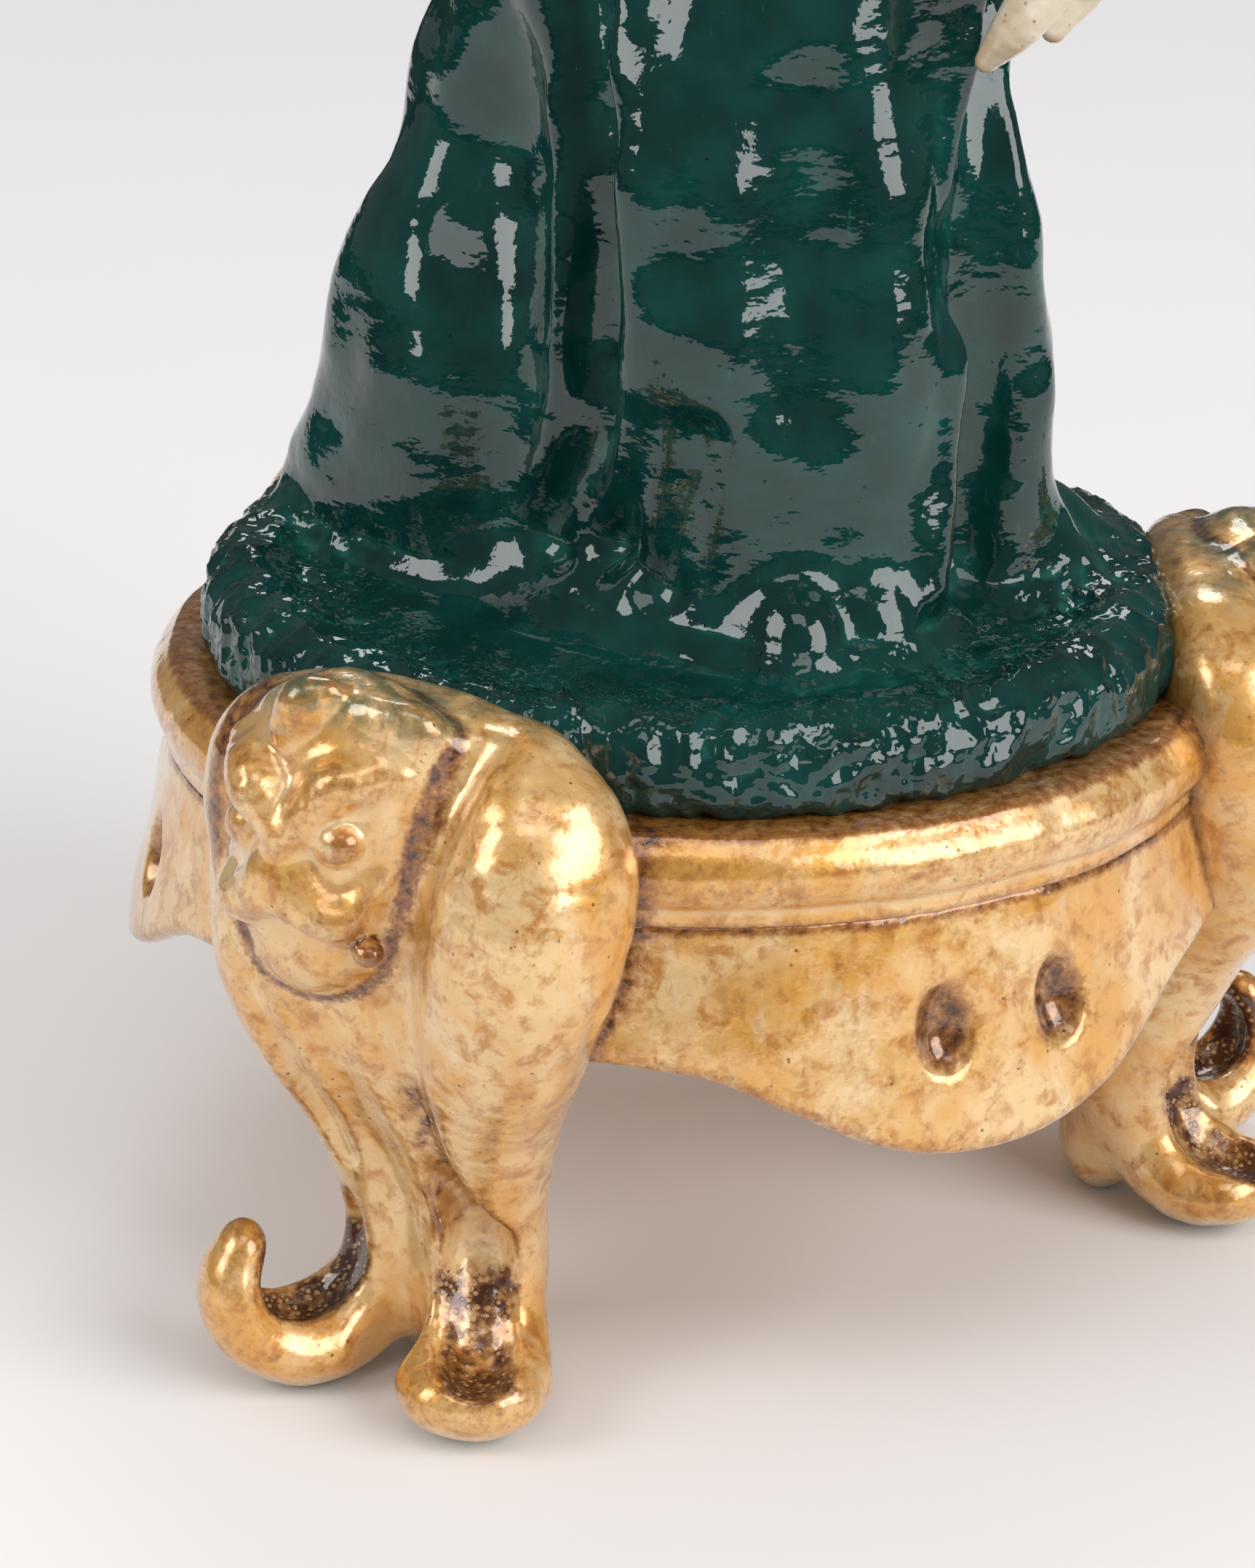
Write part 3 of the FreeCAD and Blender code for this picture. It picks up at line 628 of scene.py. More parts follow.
def block_out_body():
    """Raw shapes of each green piece, all in one block size, before they flow together."""
    parts = {}
    for name in BODY_PARTS:
        parts[name] = Clay(BODY_LOW, BODY_HIGH, BODY_STEP)
        parts[name].hub = (-DOG_SHIFT, 0)
    pad = parts["pad"]
    pad.disc(60.4, 77, 85.6, edge=3)
    pad.ring(56, 83, 5.9, 5.7, fillet=2)
    pad.ring(59.4, 79.6, 2.6, 2.4, fillet=2)
    parts["torso"].stack([(82, 0, 20, 26, 36), (108, 0, 19, 27, 38), (132, 0, 13, 27.5, 38), (158, 0, 5, 27, 35),
                          (176, 0, -3, 24, 28), (191, 0, -8, 17, 19)], power=2.2, edge=4)
    for key, side in SIDES.items():
        leg = parts[f"front_leg_{key}"]
        reach = FRONT_LEG_REACH[key]
        leg.stack([(82, side * reach[0], -21, 18.5, 13), (104, side * reach[1], -21, 18, 12.4),
                   (118, side * reach[1], -21, 17.2, 12.4), (134, side * reach[2], -19, 18, 12.6),
                   (156, side * reach[3], -14, 17, 13), (172, side * 7, -9, 12, 10)], power=2.9, turn=side * 50, edge=3)
        parts[f"haunch_{key}"].ball((side * 20.5, 21, 110), (15.5, 28, 32))
        parts[f"haunch_{key}"].ball((side * 21, 25, 93), (15.5, 31, 15), fillet=6)
        paw = parts[f"front_paw_{key}"]
        paw.ball((side * 16.5, -24, 84), (16, 15, 12))
        for toe in (-1, 0, 1):
            paw.ball((side * 17.5 + toe * 9, -34 + 3.4 * abs(toe), 88.5), (5.6, 6.6, 6.6), fillet=2.5)
        hind = parts[f"hind_paw_{key}"]
        hind.ball((side * 26.5, 0, 85), (9.5, 15, 9))
        for toe in (-1, 1):
            hind.ball((side * 26.5 + toe * 4.4, -10, 87), (4.6, 7, 6), fillet=2)
    return parts


# How far each front leg's middle stands from the dog's own, at four heights from the pad up.
FRONT_LEG_REACH = {"right": (16, 16, 15.6, 13), "left": (18.5, 14.6, 11.4, 7)}

BODY_PARTS = ("torso", "front_leg_right", "front_leg_left", "haunch_right", "haunch_left",
              "front_paw_right", "front_paw_left", "hind_paw_right", "hind_paw_left", "pad")

# Folds on the body's front right quarter: across and height of points down each; then the rope's
# radius, how far its middle stands proud of the skin, and its fillet.
CREASES = (
    ([(-30, 168), (-28, 142), (-27, 115), (-28, 97)], 8, 4.6, 6),
    ([(-16, 170), (-12.5, 145), (-12, 122), (-14, 106), (-19, 95)], 3.4, 1.4, 3),
    ([(0, 112), (-2, 103), (-5, 94)], 3.2, 1.4, 3),
    ([(34.5, 160), (34.5, 132), (33.5, 108), (33, 94)], 5, 2, 3),
    ([(10, 150), (13, 135), (12, 120)], 8, 6.6, 6),
)
RIDGES = (
    ([(-20, 166), (-17, 142), (-17.5, 116), (-22, 98)], 3, -1, 6),
    ([(-10, 162), (-7, 140), (-6, 118), (-9, 102)], 2.6, -1, 5),
    ([(29, 162), (30, 132), (28.6, 108), (28, 93)], 2.2, -0.6, 4),
)


def skin_point(clay, across, height, proud):
    """The outermost skin at a place on the front right quarter, or proud of it."""
    outs = np.arange(60, -50, -0.5)
    met = clay.near(np.array([quarter_point(across, out, height) for out in outs])) < 0
    return quarter_point(across, outs[np.argmax(met)] + proud, height)


def fold(clay, rows, cut):
    for places, radius, proud, fillet in rows:
        path = [skin_point(clay, across, height, proud) for across, height in places]
        clay.rope(path, radius * np.ones(len(path)), fillet, cut)


def flow_together(parts):
    """One distance block in which the pieces meet in soft fillets, with creases and lumps."""
    whole = Clay(BODY_LOW, BODY_HIGH, BODY_STEP)
    whole.d = parts["torso"].d.copy()
    for key in SIDES:
        whole.d = smooth_min(whole.d, parts[f"haunch_{key}"].d, 5)
        whole.d = smooth_min(whole.d, parts[f"front_leg_{key}"].d, 6)
    for key in SIDES:
        whole.d = smooth_min(whole.d, parts[f"hind_paw_{key}"].d, 4)
        whole.d = smooth_min(whole.d, parts[f"front_paw_{key}"].d, 6)
    whole.d = smooth_min(whole.d, parts["pad"].d, 7)
    fold(whole, RIDGES, cut=False)
    fold(whole, CREASES, cut=True)
    whole.rope([(34, -2, 150), (35, -3, 125), (34, -4, 102)], 4 * np.ones(3), 5, cut=True)
    for x in (-12, 0, 12):
        whole.rope([(x, 56 - abs(x) * 0.2, 160), (x * 1.2, 58, 130), (x * 1.5, 56, 100)], 2.4 * np.ones(3), 5, cut=True)
    near = np.abs(whole.d) < 4
    where = np.argwhere(near) * whole.step + whole.low
    lumps = 1.15 * ripple(where, 15, 11) + 0.5 * ripple(where, 7, 12)
    calm = np.clip((where[:, 2] - 84) / 12, 0.25, 1)
    whole.d[near] += lumps * calm
    return whole




def wrinkle(points, quads):
    """Orange peel: waves that lie across the body, and curdled bumps on the pad's rolled edge."""
    out = normals(points, quads)
    flat = points * np.array([1, 1, 2.0])
    waves = 0.13 * ripple(flat, 6.4, 31) + 0.035 * ripple(flat, 3.1, 32)
    centre = points[:, :2] - AXIS
    edge = np.clip((np.hypot(centre[:, 0], centre[:, 1]) - 39) / 8, 0, 1) * np.clip((92 - points[:, 2]) / 3, 0, 1)
    curds = 1.3 * np.abs(ripple(points, 4.2, 33)) + 0.7 * np.abs(ripple(points, 2.3, 34)) - 0.55
    drape = np.clip((points[:, 2] - 84) / 10, 0.3, 1)
    return points + out * (waves * drape * (1 - edge) + curds * edge)[:, None]


def build_body(green):
    parts = block_out_body()
    whole = flow_together(parts)
    for name in BODY_PARTS:
        others = [parts[other].d for other in BODY_PARTS if other != name]
        piece = Clay(BODY_LOW, BODY_HIGH, BODY_STEP)
        piece.d = part_off(whole.d, parts[name].d, others)
        points, quads = piece.mesh()
        points = wrinkle(dog_to_world(points), quads)
        add_piece(f"{name}_glazed", points, quads, green, name)


# ---------------------------------------------------------------- the head, mane and tail

def curl(clay, centre, facing, radius, hand):
    """A snail-shell curl: a low dome with a spiral groove."""
    facing = np.array(facing, float) / np.linalg.norm(facing)
    side = np.cross(facing, (0.1, 0.2, 1.0))
    side /= np.linalg.norm(side)
    up = np.cross(facing, side)
    clay.ball(centre, (radius, radius, radius * 0.62), 0.5, turn=np.array([side, up, facing]))
    spiral = []
    for step in range(13):
        turn = hand * step * 0.82
        out = radius * (0.12 + 0.062 * step)
        lift = radius * 0.62 * math.sqrt(max(0.0, 1 - (out / radius) ** 2)) + 0.25
        spiral.append(centre + side * out * math.cos(turn) + up * out * math.sin(turn) + facing * lift)
    for a, b in zip(spiral, spiral[1:]):
        clay.rod(a, b, 0.75, 0.75, 0.5, cut=True)


def curls_over(clay, centre, radii, size, wanted):
    """Rows of curls over an oval, where wanted(direction) is true."""
    centre, radii = np.array(centre, float), np.array(radii, float)
    rows = int(math.pi * radii[2] / (size * 1.65))
    for row in range(rows + 1):
        tilt = math.pi * (row / rows - 0.5)
        around = max(1, int(2 * math.pi * radii[0] * math.cos(tilt) / (size * 1.75)))
        for number in range(around):
            turn = 2 * math.pi * (number + 0.5 * (row % 2)) / around
            way = np.array([math.cos(tilt) * math.sin(turn), -math.cos(tilt) * math.cos(turn), math.sin(tilt)])
            if wanted(way):
                curl(clay, centre + way * (radii - size * 0.35), way / radii * radii.min(), size, 1 - 2 * (number % 2))


def sculpt_head():
    clay = Clay((-34, -66, 186), (34, 14, 252), 0.7)
    clay.ball((0, -20, 218), (28.5, 28.5, 28.5))
    clay.ball((0, -45, 209.5), (19, 16, 10.5), fillet=8)
    for side in (-1, 1):
        clay.ball((side * 13, -52, 207), (8.4, 8.6, 6.4), fillet=3)
        clay.ball((side * 22, -36, 208), (8, 9, 9), fillet=6)
        clay.rope([(side * 5, -60.5, 204), (side * 12, -60, 201.5), (side * 18.5, -53, 201), (side * 21.5, -44, 203)],
                  [2, 2.2, 2.2, 1.4], 1.5)
        clay.rope([(side * 9, -58, 217), (side * 15, -54, 214.5), (side * 20, -47, 214)], [1.2, 1.6, 1.0], 1.4, cut=True)
        clay.ball((side * 12.5, -48, 227), (8.2, 6, 7.6), fillet=2.5, cut=True)
        clay.rope([(side * 4.5, -51, 226), (side * 8, -52, 220.6), (side * 15, -51.5, 219.6), (side * 21, -45, 224)],
                  [1.4, 2.0, 2.0, 1.4], 1.6)
    clay.rope([(0, -60, 210), (0, -61, 205), (0, -59.5, 200)], [0.6, 1, 0.8], 1.2, cut=True)
    clay.ball((0, -44, 196.5), (15, 15, 5.4), fillet=1.5, cut=True)
    return clay.mesh()


def sculpt_jaw():
    clay = Clay((-21, -64, 175), (21, -26, 197), 0.6)
    clay.ball((0, -45, 185.5), (16.5, 15, 7.2))
    rim = [(-15.4, -36, 190), (-14.4, -47, 189.6), (-8, -56.5, 189.4), (0, -59, 189.6), (8, -56.5, 189.4),
           (14.4, -47, 189.6), (15.4, -36, 190)]
    clay.rope(rim, [1.8, 2, 2.2, 2.3, 2.2, 2, 1.8], 1.5)
    clay.ball((0, -43.5, 193), (11.6, 11, 4.2), fillet=1.2, cut=True)
    return clay.mesh()


def sculpt_tongue():
    clay = Clay((-10, -57, 188), (10, -30, 199), 0.5)
    clay.ball((0, -43, 193), (7.6, 10.6, 2.9))
    clay.ball((0, -52, 194.4), (5.4, 2.6, 2.4), fillet=1.5)
    clay.rope([(0, -36, 196.4), (0, -45, 196.6), (0, -53, 197)], [0.7, 1.0, 0.7], 1.2, cut=True)
    return clay.mesh()


def sculpt_teeth(root, way):
    clay = Clay((-16, -61, root - 8), (16, -39, root + 8), 0.4)
    for turn in (-62, -37, -12, 12, 37, 62):
        at = math.radians(turn)
        x, y = 12.5 * math.sin(at), -47 - 10 * math.cos(at)
        long = 6.2 if abs(turn) == 37 else 4.6
        clay.rope([(x, y, root - way), (x, y + 0.2, root + way * 0.5 * long), (x * 0.96, y + 0.6, root + way * (long - 0.8))],
                  [2.1, 1.8, 0.8], 0.0)
    return clay.mesh()


def sculpt_nose():
    clay = Clay((-12, -70, 205), (12, -54, 223), 0.45)
    clay.ball((0, -61.5, 215), (5.6, 5.6, 5.8))
    for side in (-1, 1):
        clay.ball((side * 6, -61.5, 212.4), (3.9, 4.6, 4.2), fillet=1.8)
        clay.ball((side * 5.4, -66.4, 211.4), (1.9, 2.4, 1.5), fillet=0.6, cut=True)
    return clay.mesh()


def sculpt_eye(side):
    clay = Clay((side * 12.5 - 8, -55, 219), (side * 12.5 + 8, -38, 235), 0.4)
    clay.ball((side * 12.5, -46, 227), (6.2, 6.2, 6.2))
    clay.ball((side * 13, -51.4, 227), (2.9, 1.4, 2.9), 0.6)
    clay.rope([(side * 13 + 3.9 * math.cos(a), -51.6, 227 + 3.9 * math.sin(a)) for a in np.linspace(0, 6.283, 9)],
              0.6 * np.ones(9), 0.6, cut=True)
    return clay.mesh()


def sculpt_brow(side):
    clay = Clay((min(side * 1, side * 26), -52, 228), (max(side * 1, side * 26), -36, 243), 0.5)
    for row in range(4):
        x = 4.6 + 5.2 * row
        clay.rope([(side * x, -48 + row, 231.6 + row * 0.6), (side * (x + 1.6), -46.4 + row, 235.6 + row * 0.6),
                   (side * (x + 0.4), -43.5 + row, 238.6)], [2.4, 2.6, 1.2], 1.4)
    return clay.mesh()


def sculpt_ear(side):
    clay = Clay((side * 32 - 8, -23, 217), (side * 32 + 8, -3, 249), 0.5)
    clay.ball((side * 32, -13, 231), (5.2, 8.4, 12.5))
    clay.rope([(side * 32, -12, 238), (side * 32.8, -10, 245.4)], [5, 1.6], 3)
    clay.ball((side * 36.6, -15, 231), (3.4, 5, 9.5), fillet=1.5, cut=True)
    return clay.mesh()


def sculpt_beard():
    clay = Clay((-16, -56, 153), (14, -34, 189), 0.55)
    clay.ball((0, -44, 176), (10, 6.6, 10))
    clay.rope([(-1, -48, 178), (-3.4, -48, 170), (-6.4, -45, 162), (-7, -40.6, 156.4)], [3.2, 3.8, 3.0, 1.5], 1.5)
    clay.rope([(2, -49, 176), (1, -49, 168), (-2.4, -46.4, 160)], [2.8, 3.2, 1.5], 1)
    for number, x in enumerate((-8.4, -4.2, 0, 4.2, 8.4)):
        hand = 1 if x > 0 else -1
        low = 163.5 + abs(x) * 0.7
        clay.rope([(x * 0.7, -50, 185), (x, -51.2, 176), (x * 1.1 + hand, -50, low + 3), (x - hand, -48, low)],
                  [1.8, 2.5, 2.2, 1.3], 0.5)
    return clay.mesh()


def sculpt_mane_back():
    clay = Clay((-37, -22, 174), (37, 34, 252), 0.7)
    clay.ball((0, 6, 213), (30, 22, 33))
    curls_over(clay, (0, 6, 213), (32, 24.4, 35), 6.6, lambda way: way[1] > -0.25)
    return clay.mesh()


def sculpt_mane_side(side):
    clay = Clay((side * 27 - 15, -29, 168), (side * 27 + 15, 21, 226), 0.6)
    clay.ball((side * 26.6, -4, 197), (10.4, 20, 24))
    curls_over(clay, (side * 26.6, -4, 197), (12, 21.6, 25.6), 5.8, lambda way: way[0] * side > -0.15)
    return clay.mesh()


def sculpt_crown():
    clay = Clay((-16, -32, 231), (16, 0, 265), 0.55)
    clay.ball((0, -16, 247.5), (11, 12, 13.5))
    curls_over(clay, (0, -16, 248), (12.4, 13.2, 14.6), 4.8, lambda way: way[2] > -0.3)
    return clay.mesh()


def sculpt_tail():
    clay = Clay((-9, 22, 86), (24, 61, 189), 0.7)
    clay.stack([(86, 6, 48, 10, 6.4), (108, 8, 50, 11, 7.2), (130, 10.5, 47.5, 8.4, 7.4), (156, 10, 41, 7.2, 7),
                (182, 6, 32, 4.6, 3.4)], edge=2)
    for x in (-7.5, -2.5, 2.5, 7.5):
        clay.rope([(6 + x * 0.8, 56, 90), (8 + x * 0.9, 58, 112), (10.5 + x * 0.72, 56, 132),
                   (10 + x * 0.6, 48.8, 156), (6 + x * 0.2, 37, 181)], [1.6, 2.2, 2.2, 1.8, 1.0], 1.2)
    for side in (-1, 1):
        curl(clay, np.array([7 + side * 6.6, 54.5, 98]), (side * 0.4, 1, 0), 5.6, side)
        curl(clay, np.array([8 + side * 7, 54, 117]), (side * 0.5, 1, 0.1), 5.2, side)
    return clay.mesh()


def build_head(green, amber, cream, aubergine):
    jobs = [
        ("head", sculpt_head, green), ("lower_jaw", sculpt_jaw, cream), ("tongue", sculpt_tongue, aubergine),
        ("teeth_upper", lambda: sculpt_teeth(203, -1), cream), ("teeth_lower", lambda: sculpt_teeth(188, 1), cream),
        ("nose", sculpt_nose, amber), ("beard", sculpt_beard, cream), ("mane_back", sculpt_mane_back, amber),
        ("crown", sculpt_crown, amber), ("tail", sculpt_tail, amber),
    ]
    for key, side in SIDES.items():
        jobs.append((f"eye_{key}", lambda side=side: sculpt_eye(side), cream))
        jobs.append((f"brow_{key}", lambda side=side: sculpt_brow(side), amber))
        jobs.append((f"ear_{key}", lambda side=side: sculpt_ear(side), amber))
        jobs.append((f"mane_{key}", lambda side=side: sculpt_mane_side(side), amber))
    for name, sculpt, material in jobs:
        points, quads = sculpt()
        points = crumple(dog_to_world(points), quads, ((5, 0.12, 41), (2.2, 0.05, 42)))
        add_piece(f"{name}_glazed", points, quads, material, name, rounds=6)


# ---------------------------------------------------------------- glazes

class Paint:
    """A node material, built by short calls that return sockets. Sizes are in mm."""

    def __init__(self, name):
        self.material = bpy.data.materials.new(name)
        self.material.use_nodes = True
        self.tree = self.material.node_tree
        self.shader = self.tree.nodes["Principled BSDF"]
        self.place = self.tree.nodes.new("ShaderNodeTexCoord").outputs["Object"]

    def node(self, kind, output, inputs, **settings):
        made = self.tree.nodes.new(kind)
        for key, value in settings.items():
            setattr(made, key, value)
        for key, value in inputs.items():
            if isinstance(value, bpy.types.NodeSocket):
                self.tree.links.new(value, made.inputs[key])
            else:
                made.inputs[key].default_value = value
        return made.outputs[output]

    def noise(self, size, detail=3.0, rough=0.5, stretch=(1, 1, 1), twist=0.0):
        vector = self.node("ShaderNodeMapping", "Vector", {"Vector": self.place, "Scale": stretch})
        return self.node("ShaderNodeTexNoise", "Fac", {
            "Vector": vector, "Scale": 1 / (size * MM), "Detail": detail, "Roughness": rough, "Distortion": twist})

    def cells(self, size, output="Distance", feature="F1", random=1.0):
        return self.node("ShaderNodeTexVoronoi", output, {
            "Vector": self.place, "Scale": 1 / (size * MM), "Randomness": random}, feature=feature)

    def attribute(self, name):
        return self.node("ShaderNodeAttribute", "Fac", {}, attribute_name=name)

    def height(self):
        split = self.node("ShaderNodeSeparateXYZ", "Z", {"Vector": self.place})
        return self.math("MULTIPLY", split, 1 / MM)

    def math(self, operation, a, b=0.0, clamp=False):
        return self.node("ShaderNodeMath", 0, {0: a, 1: b}, operation=operation, use_clamp=clamp)

    def range(self, value, low, high, to_low=0.0, to_high=1.0):
        return self.node("ShaderNodeMapRange", "Result", {
            "Value": value, "From Min": low, "From Max": high, "To Min": to_low, "To Max": to_high})

    def blend(self, amount, a, b, kind="MIX"):
        made = self.tree.nodes.new("ShaderNodeMix")
        made.data_type = "RGBA"
        made.blend_type = kind
        for socket, value in ((made.inputs["Factor"], amount), (made.inputs[6], a), (made.inputs[7], b)):
            if isinstance(value, bpy.types.NodeSocket):
                self.tree.links.new(value, socket)
            else:
                socket.default_value = value if isinstance(value, float) else (*value, 1.0)
        return made.outputs[2]

    def bump(self, height, distance, normal=None, strength=1.0):
        inputs = {"Height": height, "Distance": distance * MM, "Strength": strength}
        if normal is not None:
            inputs["Normal"] = normal
        return self.node("ShaderNodeBump", "Normal", inputs)

    def finish(self, **sockets):
        for key, value in sockets.items():
            socket = self.shader.inputs[key.replace("_", " ")]
            if isinstance(value, bpy.types.NodeSocket):
                self.tree.links.new(value, socket)
            else:
                socket.default_value = value
        return self.material


def green_glaze():
    """Deep bottle-green glaze: nearly black where thick, teal where thin, curdled round the pad."""
    p = Paint("green_glaze_paint")
    hollow = p.attribute("hollow")
    cloud = p.noise(9, 4)
    deep, mid, thin = (0.002, 0.025, 0.022), (0.003, 0.044, 0.037), (0.016, 0.14, 0.11)
    colour = p.blend(p.range(cloud, 0.4, 0.65), deep, mid)
    ridge = p.math("MULTIPLY", p.range(hollow, -0.1, -0.6), p.range(p.noise(3, 5, 0.6), 0.38, 0.62))
    colour = p.blend(ridge, colour, thin)
    colour = p.blend(p.range(hollow, 0.15, 0.7), colour, (0.0012, 0.014, 0.013))
    streak = p.noise(1.6, 4, 0.6, stretch=(1, 1, 0.22))
    colour = p.blend(p.range(streak, 0.66, 0.74, 0.0, 0.35), colour, thin)
    pin = p.range(p.cells(2.4), 0.10, 0.07)
    few = p.range(p.noise(7, 2), 0.55, 0.62)
    pin = p.math("MULTIPLY", pin, few)
    colour = p.blend(pin, colour, (0.001, 0.006, 0.006))
    peel = p.bump(p.noise(1.5, 2, 0.5), 0.05)
    ripple_bump = p.bump(p.noise(3.4, 2, 0.4, stretch=(1, 1, 2)), 0.12, peel)
    middle = p.node("ShaderNodeVectorMath", "Vector", {0: p.place, 1: (0, -AXIS[1] * MM, 0)}, operation="ADD")
    flat = p.node("ShaderNodeVectorMath", "Vector", {0: middle, 1: (1, 1, 0)}, operation="MULTIPLY")
    out = p.node("ShaderNodeVectorMath", "Value", {0: flat}, operation="LENGTH")
    edge = p.math("MULTIPLY", p.range(out, 0.038, 0.046), p.range(p.height(), 93, 90))
    curds = p.bump(p.math("MULTIPLY", p.noise(2.2, 1, 0.4, twist=0.4), edge), 0.55, ripple_bump)
    pits = p.bump(p.math("SUBTRACT", 1.0, pin), 0.25, curds)
    rough = p.range(p.noise(0.8, 3), 0.3, 0.8, 0.03, 0.09)
    return p.finish(Base_Color=colour, Roughness=rough, Normal=pits, IOR=1.62, Coat_Weight=0.0)


def amber_glaze():
    """Golden amber glaze: straw over ridges, brown in hollows, bubbled pools, fine sparkle."""
    p = Paint("amber_glaze_paint")
    hollow, height = p.attribute("hollow"), p.height()
    straw, gold, brown = (0.80, 0.54, 0.25), (0.74, 0.37, 0.075), (0.30, 0.10, 0.014)
    patch = p.noise(14, 5, 0.6, twist=0.6)
    mottle = p.noise(3.2, 6, 0.65, twist=0.4)
    colour = p.blend(p.range(patch, 0.40, 0.60), gold, straw)
    colour = p.blend(p.range(mottle, 0.50, 0.64, 0.0, 0.85), colour, (0.50, 0.19, 0.022))
    smear = p.noise(5, 5, 0.6, stretch=(1, 1, 0.35), twist=0.3)
    colour = p.blend(p.range(smear, 0.56, 0.7, 0.0, 0.6), colour, (0.84, 0.62, 0.36))
    colour = p.blend(p.range(hollow, -0.02, -0.35, 0.0, 0.8), colour, (0.86, 0.62, 0.34))
    rim = p.math("ADD", hollow, p.range(p.noise(1.1, 4, 0.7), 0.3, 0.7, -0.12, 0.12))
    colour = p.blend(p.range(rim, 0.08, 0.30, 0.0, 0.85), colour, brown)
    colour = p.blend(p.range(rim, 0.30, 0.62), colour, (0.06, 0.014, 0.003))
    # Brown, then near black where the stain-and-shade value runs high: seam stains, darker edge lines, and painted
    # shade inside the apron dimples.
    ragged_stain_and_shade = p.math("ADD", p.attribute("stain_and_shade"), p.range(p.noise(1.6, 5, 0.7), 0.3, 0.7, -0.35, 0.3))
    colour = p.blend(p.range(ragged_stain_and_shade, 0.35, 0.85, 0.0, 0.9), colour, brown)
    colour = p.blend(p.range(ragged_stain_and_shade, 0.85, 1.15), colour, (0.05, 0.012, 0.003))
    edge = p.math("ADD", p.attribute("pool"), p.range(p.noise(2.2, 4, 0.6), 0.3, 0.7, -0.4, 0.2))
    pool = p.range(edge, 0.3, 0.62)
    bubble = p.cells(1.05)
    bubbles = p.blend(p.range(bubble, 0.25, 0.42), (0.50, 0.30, 0.12), (0.075, 0.018, 0.004))
    colour = p.blend(p.range(edge, 0.05, 0.45, 0.0, 0.8), colour, brown)
    colour = p.blend(pool, colour, bubbles)
    bare = p.math("MULTIPLY", p.range(height, 4.5, 1.2), p.range(p.noise(4, 4), 0.36, 0.46))
    colour = p.blend(bare, colour, (0.50, 0.42, 0.29))
    dots = p.math("MULTIPLY", p.range(p.cells(1.7), 0.13, 0.08), p.range(p.noise(8, 3), 0.52, 0.6))
    colour = p.blend(p.math("MULTIPLY", dots, 0.8), colour, (0.09, 0.03, 0.01))
    green = p.math("MULTIPLY", p.range(height, 87, 91), p.range(height, 100, 96))
    green = p.math("MULTIPLY", green, p.range(p.noise(4, 4, 0.6), 0.42, 0.6, 0.0, 0.75))
    colour = p.blend(green, colour, (0.05, 0.12, 0.07))
    sparkle = p.bump(p.cells(0.32, "Color"), 0.012)
    skin = p.bump(p.noise(0.9, 3), 0.04, sparkle)
    foam = p.bump(p.math("MULTIPLY", p.range(bubble, 0.5, 0.2), pool), 0.3, skin)
    pitted = p.bump(p.math("SUBTRACT", 1.0, dots), 0.12, foam)
    coat = p.bump(p.noise(2.6, 2, 0.5), 0.12, p.bump(p.noise(0.9, 2), 0.02))
    rough = p.math("ADD", p.range(p.noise(1.3, 4), 0.3, 0.7, 0.22, 0.36), p.math("MULTIPLY", bare, 0.4))
    metal = p.math("MULTIPLY", p.range(patch, 0.35, 0.6, 0.5, 0.3), p.math("SUBTRACT", 1.0, bare))
    return p.finish(Base_Color=colour, Roughness=rough, Metallic=metal, Normal=pitted, IOR=1.6,
                    Coat_Weight=1.0, Coat_Roughness=0.045, Coat_IOR=1.55, Coat_Normal=coat)


def cream_glaze():
    """Straw-cream clear glaze with brown iron specks and amber in the hollows."""
    p = Paint("cream_glaze_paint")
    hollow = p.attribute("hollow")
    colour = p.blend(p.range(p.noise(6, 4), 0.4, 0.62), (0.70, 0.62, 0.49), (0.60, 0.49, 0.34))
    colour = p.blend(p.range(hollow, 0.1, 0.45), colour, (0.33, 0.15, 0.035))
    specks = p.math("MULTIPLY", p.range(p.cells(1.2), 0.22, 0.12), p.range(p.noise(5, 3), 0.5, 0.6))
    colour = p.blend(specks, colour, (0.14, 0.05, 0.012))
    peel = p.bump(p.noise(1.8, 3), 0.08)
    rough = p.range(p.noise(1.3, 3), 0.3, 0.7, 0.1, 0.2)
    return p.finish(Base_Color=colour, Roughness=rough, Normal=peel, IOR=1.55,
                    Coat_Weight=0.6, Coat_Roughness=0.05)


def aubergine_glaze():
    """Red-brown glaze, darker in the tongue's groove."""
    p = Paint("aubergine_glaze_paint")
    colour = p.blend(p.range(p.noise(3, 4), 0.4, 0.62), (0.19, 0.035, 0.026), (0.29, 0.065, 0.04))
    colour = p.blend(p.range(p.attribute("hollow"), 0.05, 0.35), colour, (0.07, 0.01, 0.01))
    peel = p.bump(p.noise(1.4, 3), 0.08)
    rough = p.range(p.noise(1.1, 3), 0.3, 0.7, 0.08, 0.16)
    return p.finish(Base_Color=colour, Roughness=rough, Normal=peel, IOR=1.6)


# ---------------------------------------------------------------- studio

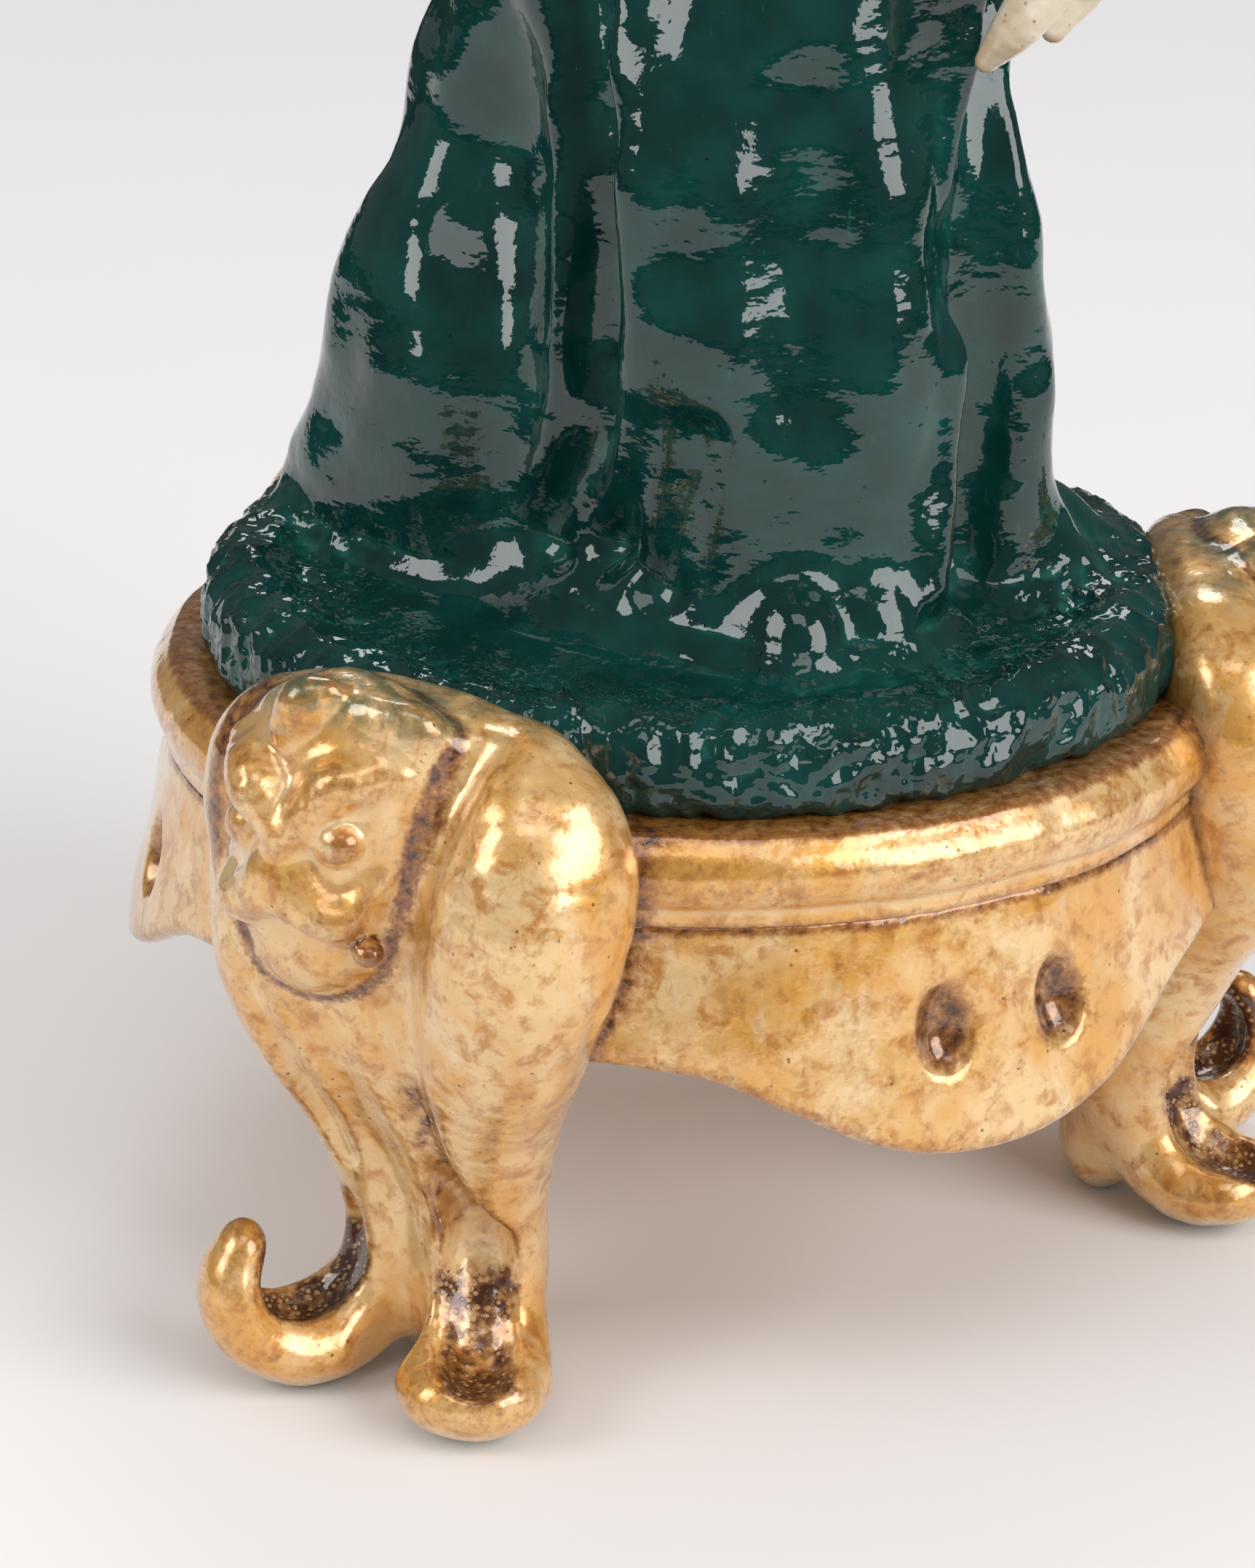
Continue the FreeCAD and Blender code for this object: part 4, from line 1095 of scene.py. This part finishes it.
def build_floor():
    """A large pale floor, with painted light: it glows more far from its middle, and glossy rays see it painted dark
    beyond about a metre.
    """
    bpy.ops.mesh.primitive_plane_add(size=24, location=(0, 0, 0))
    floor = bpy.context.object
    floor.name = "floor"
    p = Paint("floor_paint")
    tone_and_painted_reflection = p.blend(p.noise(60, 2), (0.80, 0.785, 0.78), (0.815, 0.80, 0.795))
    away = p.node("ShaderNodeVectorMath", "Value", {0: p.place}, operation="LENGTH")
    mirrored = p.node("ShaderNodeLightPath", "Is Glossy Ray", {})
    # Painted reflection: beyond 1.0 to 1.2 m from the middle, glossy rays see the floor nearly black.
    tone_and_painted_reflection = p.blend(p.math("MULTIPLY", p.range(away, 1.0, 1.2), mirrored), tone_and_painted_reflection, (0.03, 0.03, 0.03))
    # Painted light: from 1.0 to 3.5 m out the floor glows more, except in reflections, standing in for light that falls
    # off far from the lamps.
    painted_far_glow = p.math("MULTIPLY", p.range(away, 1.0, 3.5, 0.0, 0.42), p.math("SUBTRACT", 1.0, mirrored))
    floor.data.materials.append(p.finish(Base_Color=tone_and_painted_reflection, Roughness=0.9, Specular_IOR_Level=0.2,
                                         Emission_Color=(0.98, 0.985, 1.0, 1), Emission_Strength=painted_far_glow))


def look_at(thing, place, target):
    way = mathutils.Vector(target) - mathutils.Vector(place)
    thing.location = place
    thing.rotation_euler = way.to_track_quat("-Z", "Y").to_euler()


def add_window(name, azimuth, elevation, distance, wide, high, radiance):
    """A soft box that faces the statue; radiance is how bright its face is."""
    light = bpy.data.lights.new(name, "AREA")
    light.shape = "RECTANGLE"
    light.size, light.size_y = wide, high
    light.energy = radiance * math.pi * wide * high
    lamp = bpy.data.objects.new(name, light)
    bpy.context.collection.objects.link(lamp)
    a, e = math.radians(azimuth), math.radians(elevation)
    place = (distance * math.cos(e) * math.sin(a), -distance * math.cos(e) * math.cos(a), distance * math.sin(e) + 0.1)
    look_at(lamp, place, (0, 0, 0.1))


def build_light():
    """Two soft windows and a weak front panel in a pale room, dark only to mirror-like reflections."""
    world = bpy.data.worlds.new("studio")
    world.use_nodes = True
    tree = world.node_tree
    background = tree.nodes["Background"]
    background.inputs["Color"].default_value = (0.98, 0.985, 1.0, 1)
    path = tree.nodes.new("ShaderNodeLightPath")
    room = tree.nodes.new("ShaderNodeMapRange")
    room.inputs["To Min"].default_value = 0.52
    room.inputs["To Max"].default_value = 0.12
    tree.links.new(path.outputs["Is Glossy Ray"], room.inputs["Value"])
    tree.links.new(room.outputs["Result"], background.inputs["Strength"])
    bpy.context.scene.world = world
    add_window("window_right", 24, 28, 2.0, 1.5, 1.4, 4.6)
    add_window("window_left", -96, 30, 2.0, 0.9, 1.1, 4.6)
    add_window("window_back", 150, 50, 2.2, 0.7, 0.6, 5)
    add_window("panel_front", -34, 60, 2.0, 1.1, 0.6, 2.0)
    bpy.context.scene.view_settings.view_transform = "Standard"


def build_camera():
    data = bpy.data.cameras.new("camera")
    data.sensor_fit = "VERTICAL"
    data.sensor_height = 36
    data.lens = 5200 * 36 / 2156
    camera = bpy.data.objects.new("camera", data)
    bpy.context.collection.objects.link(camera)
    azimuth, pitch, roll = math.radians(-30), math.radians(22.5), math.radians(1.0)
    camera.location = (-0.23486, -0.39109 + AXIS[1] * MM, 0.24475)
    turn = mathutils.Euler((math.pi / 2 - pitch, 0, azimuth)).to_matrix()
    camera.rotation_euler = (turn @ mathutils.Matrix.Rotation(roll, 3, "Z")).to_euler()
    bpy.context.scene.camera = camera


build_camera()
build_light()
build_floor()
green, amber, cream, aubergine = green_glaze(), amber_glaze(), cream_glaze(), aubergine_glaze()
build_stand(amber)
build_body(green)
build_head(green, amber, cream, aubergine)
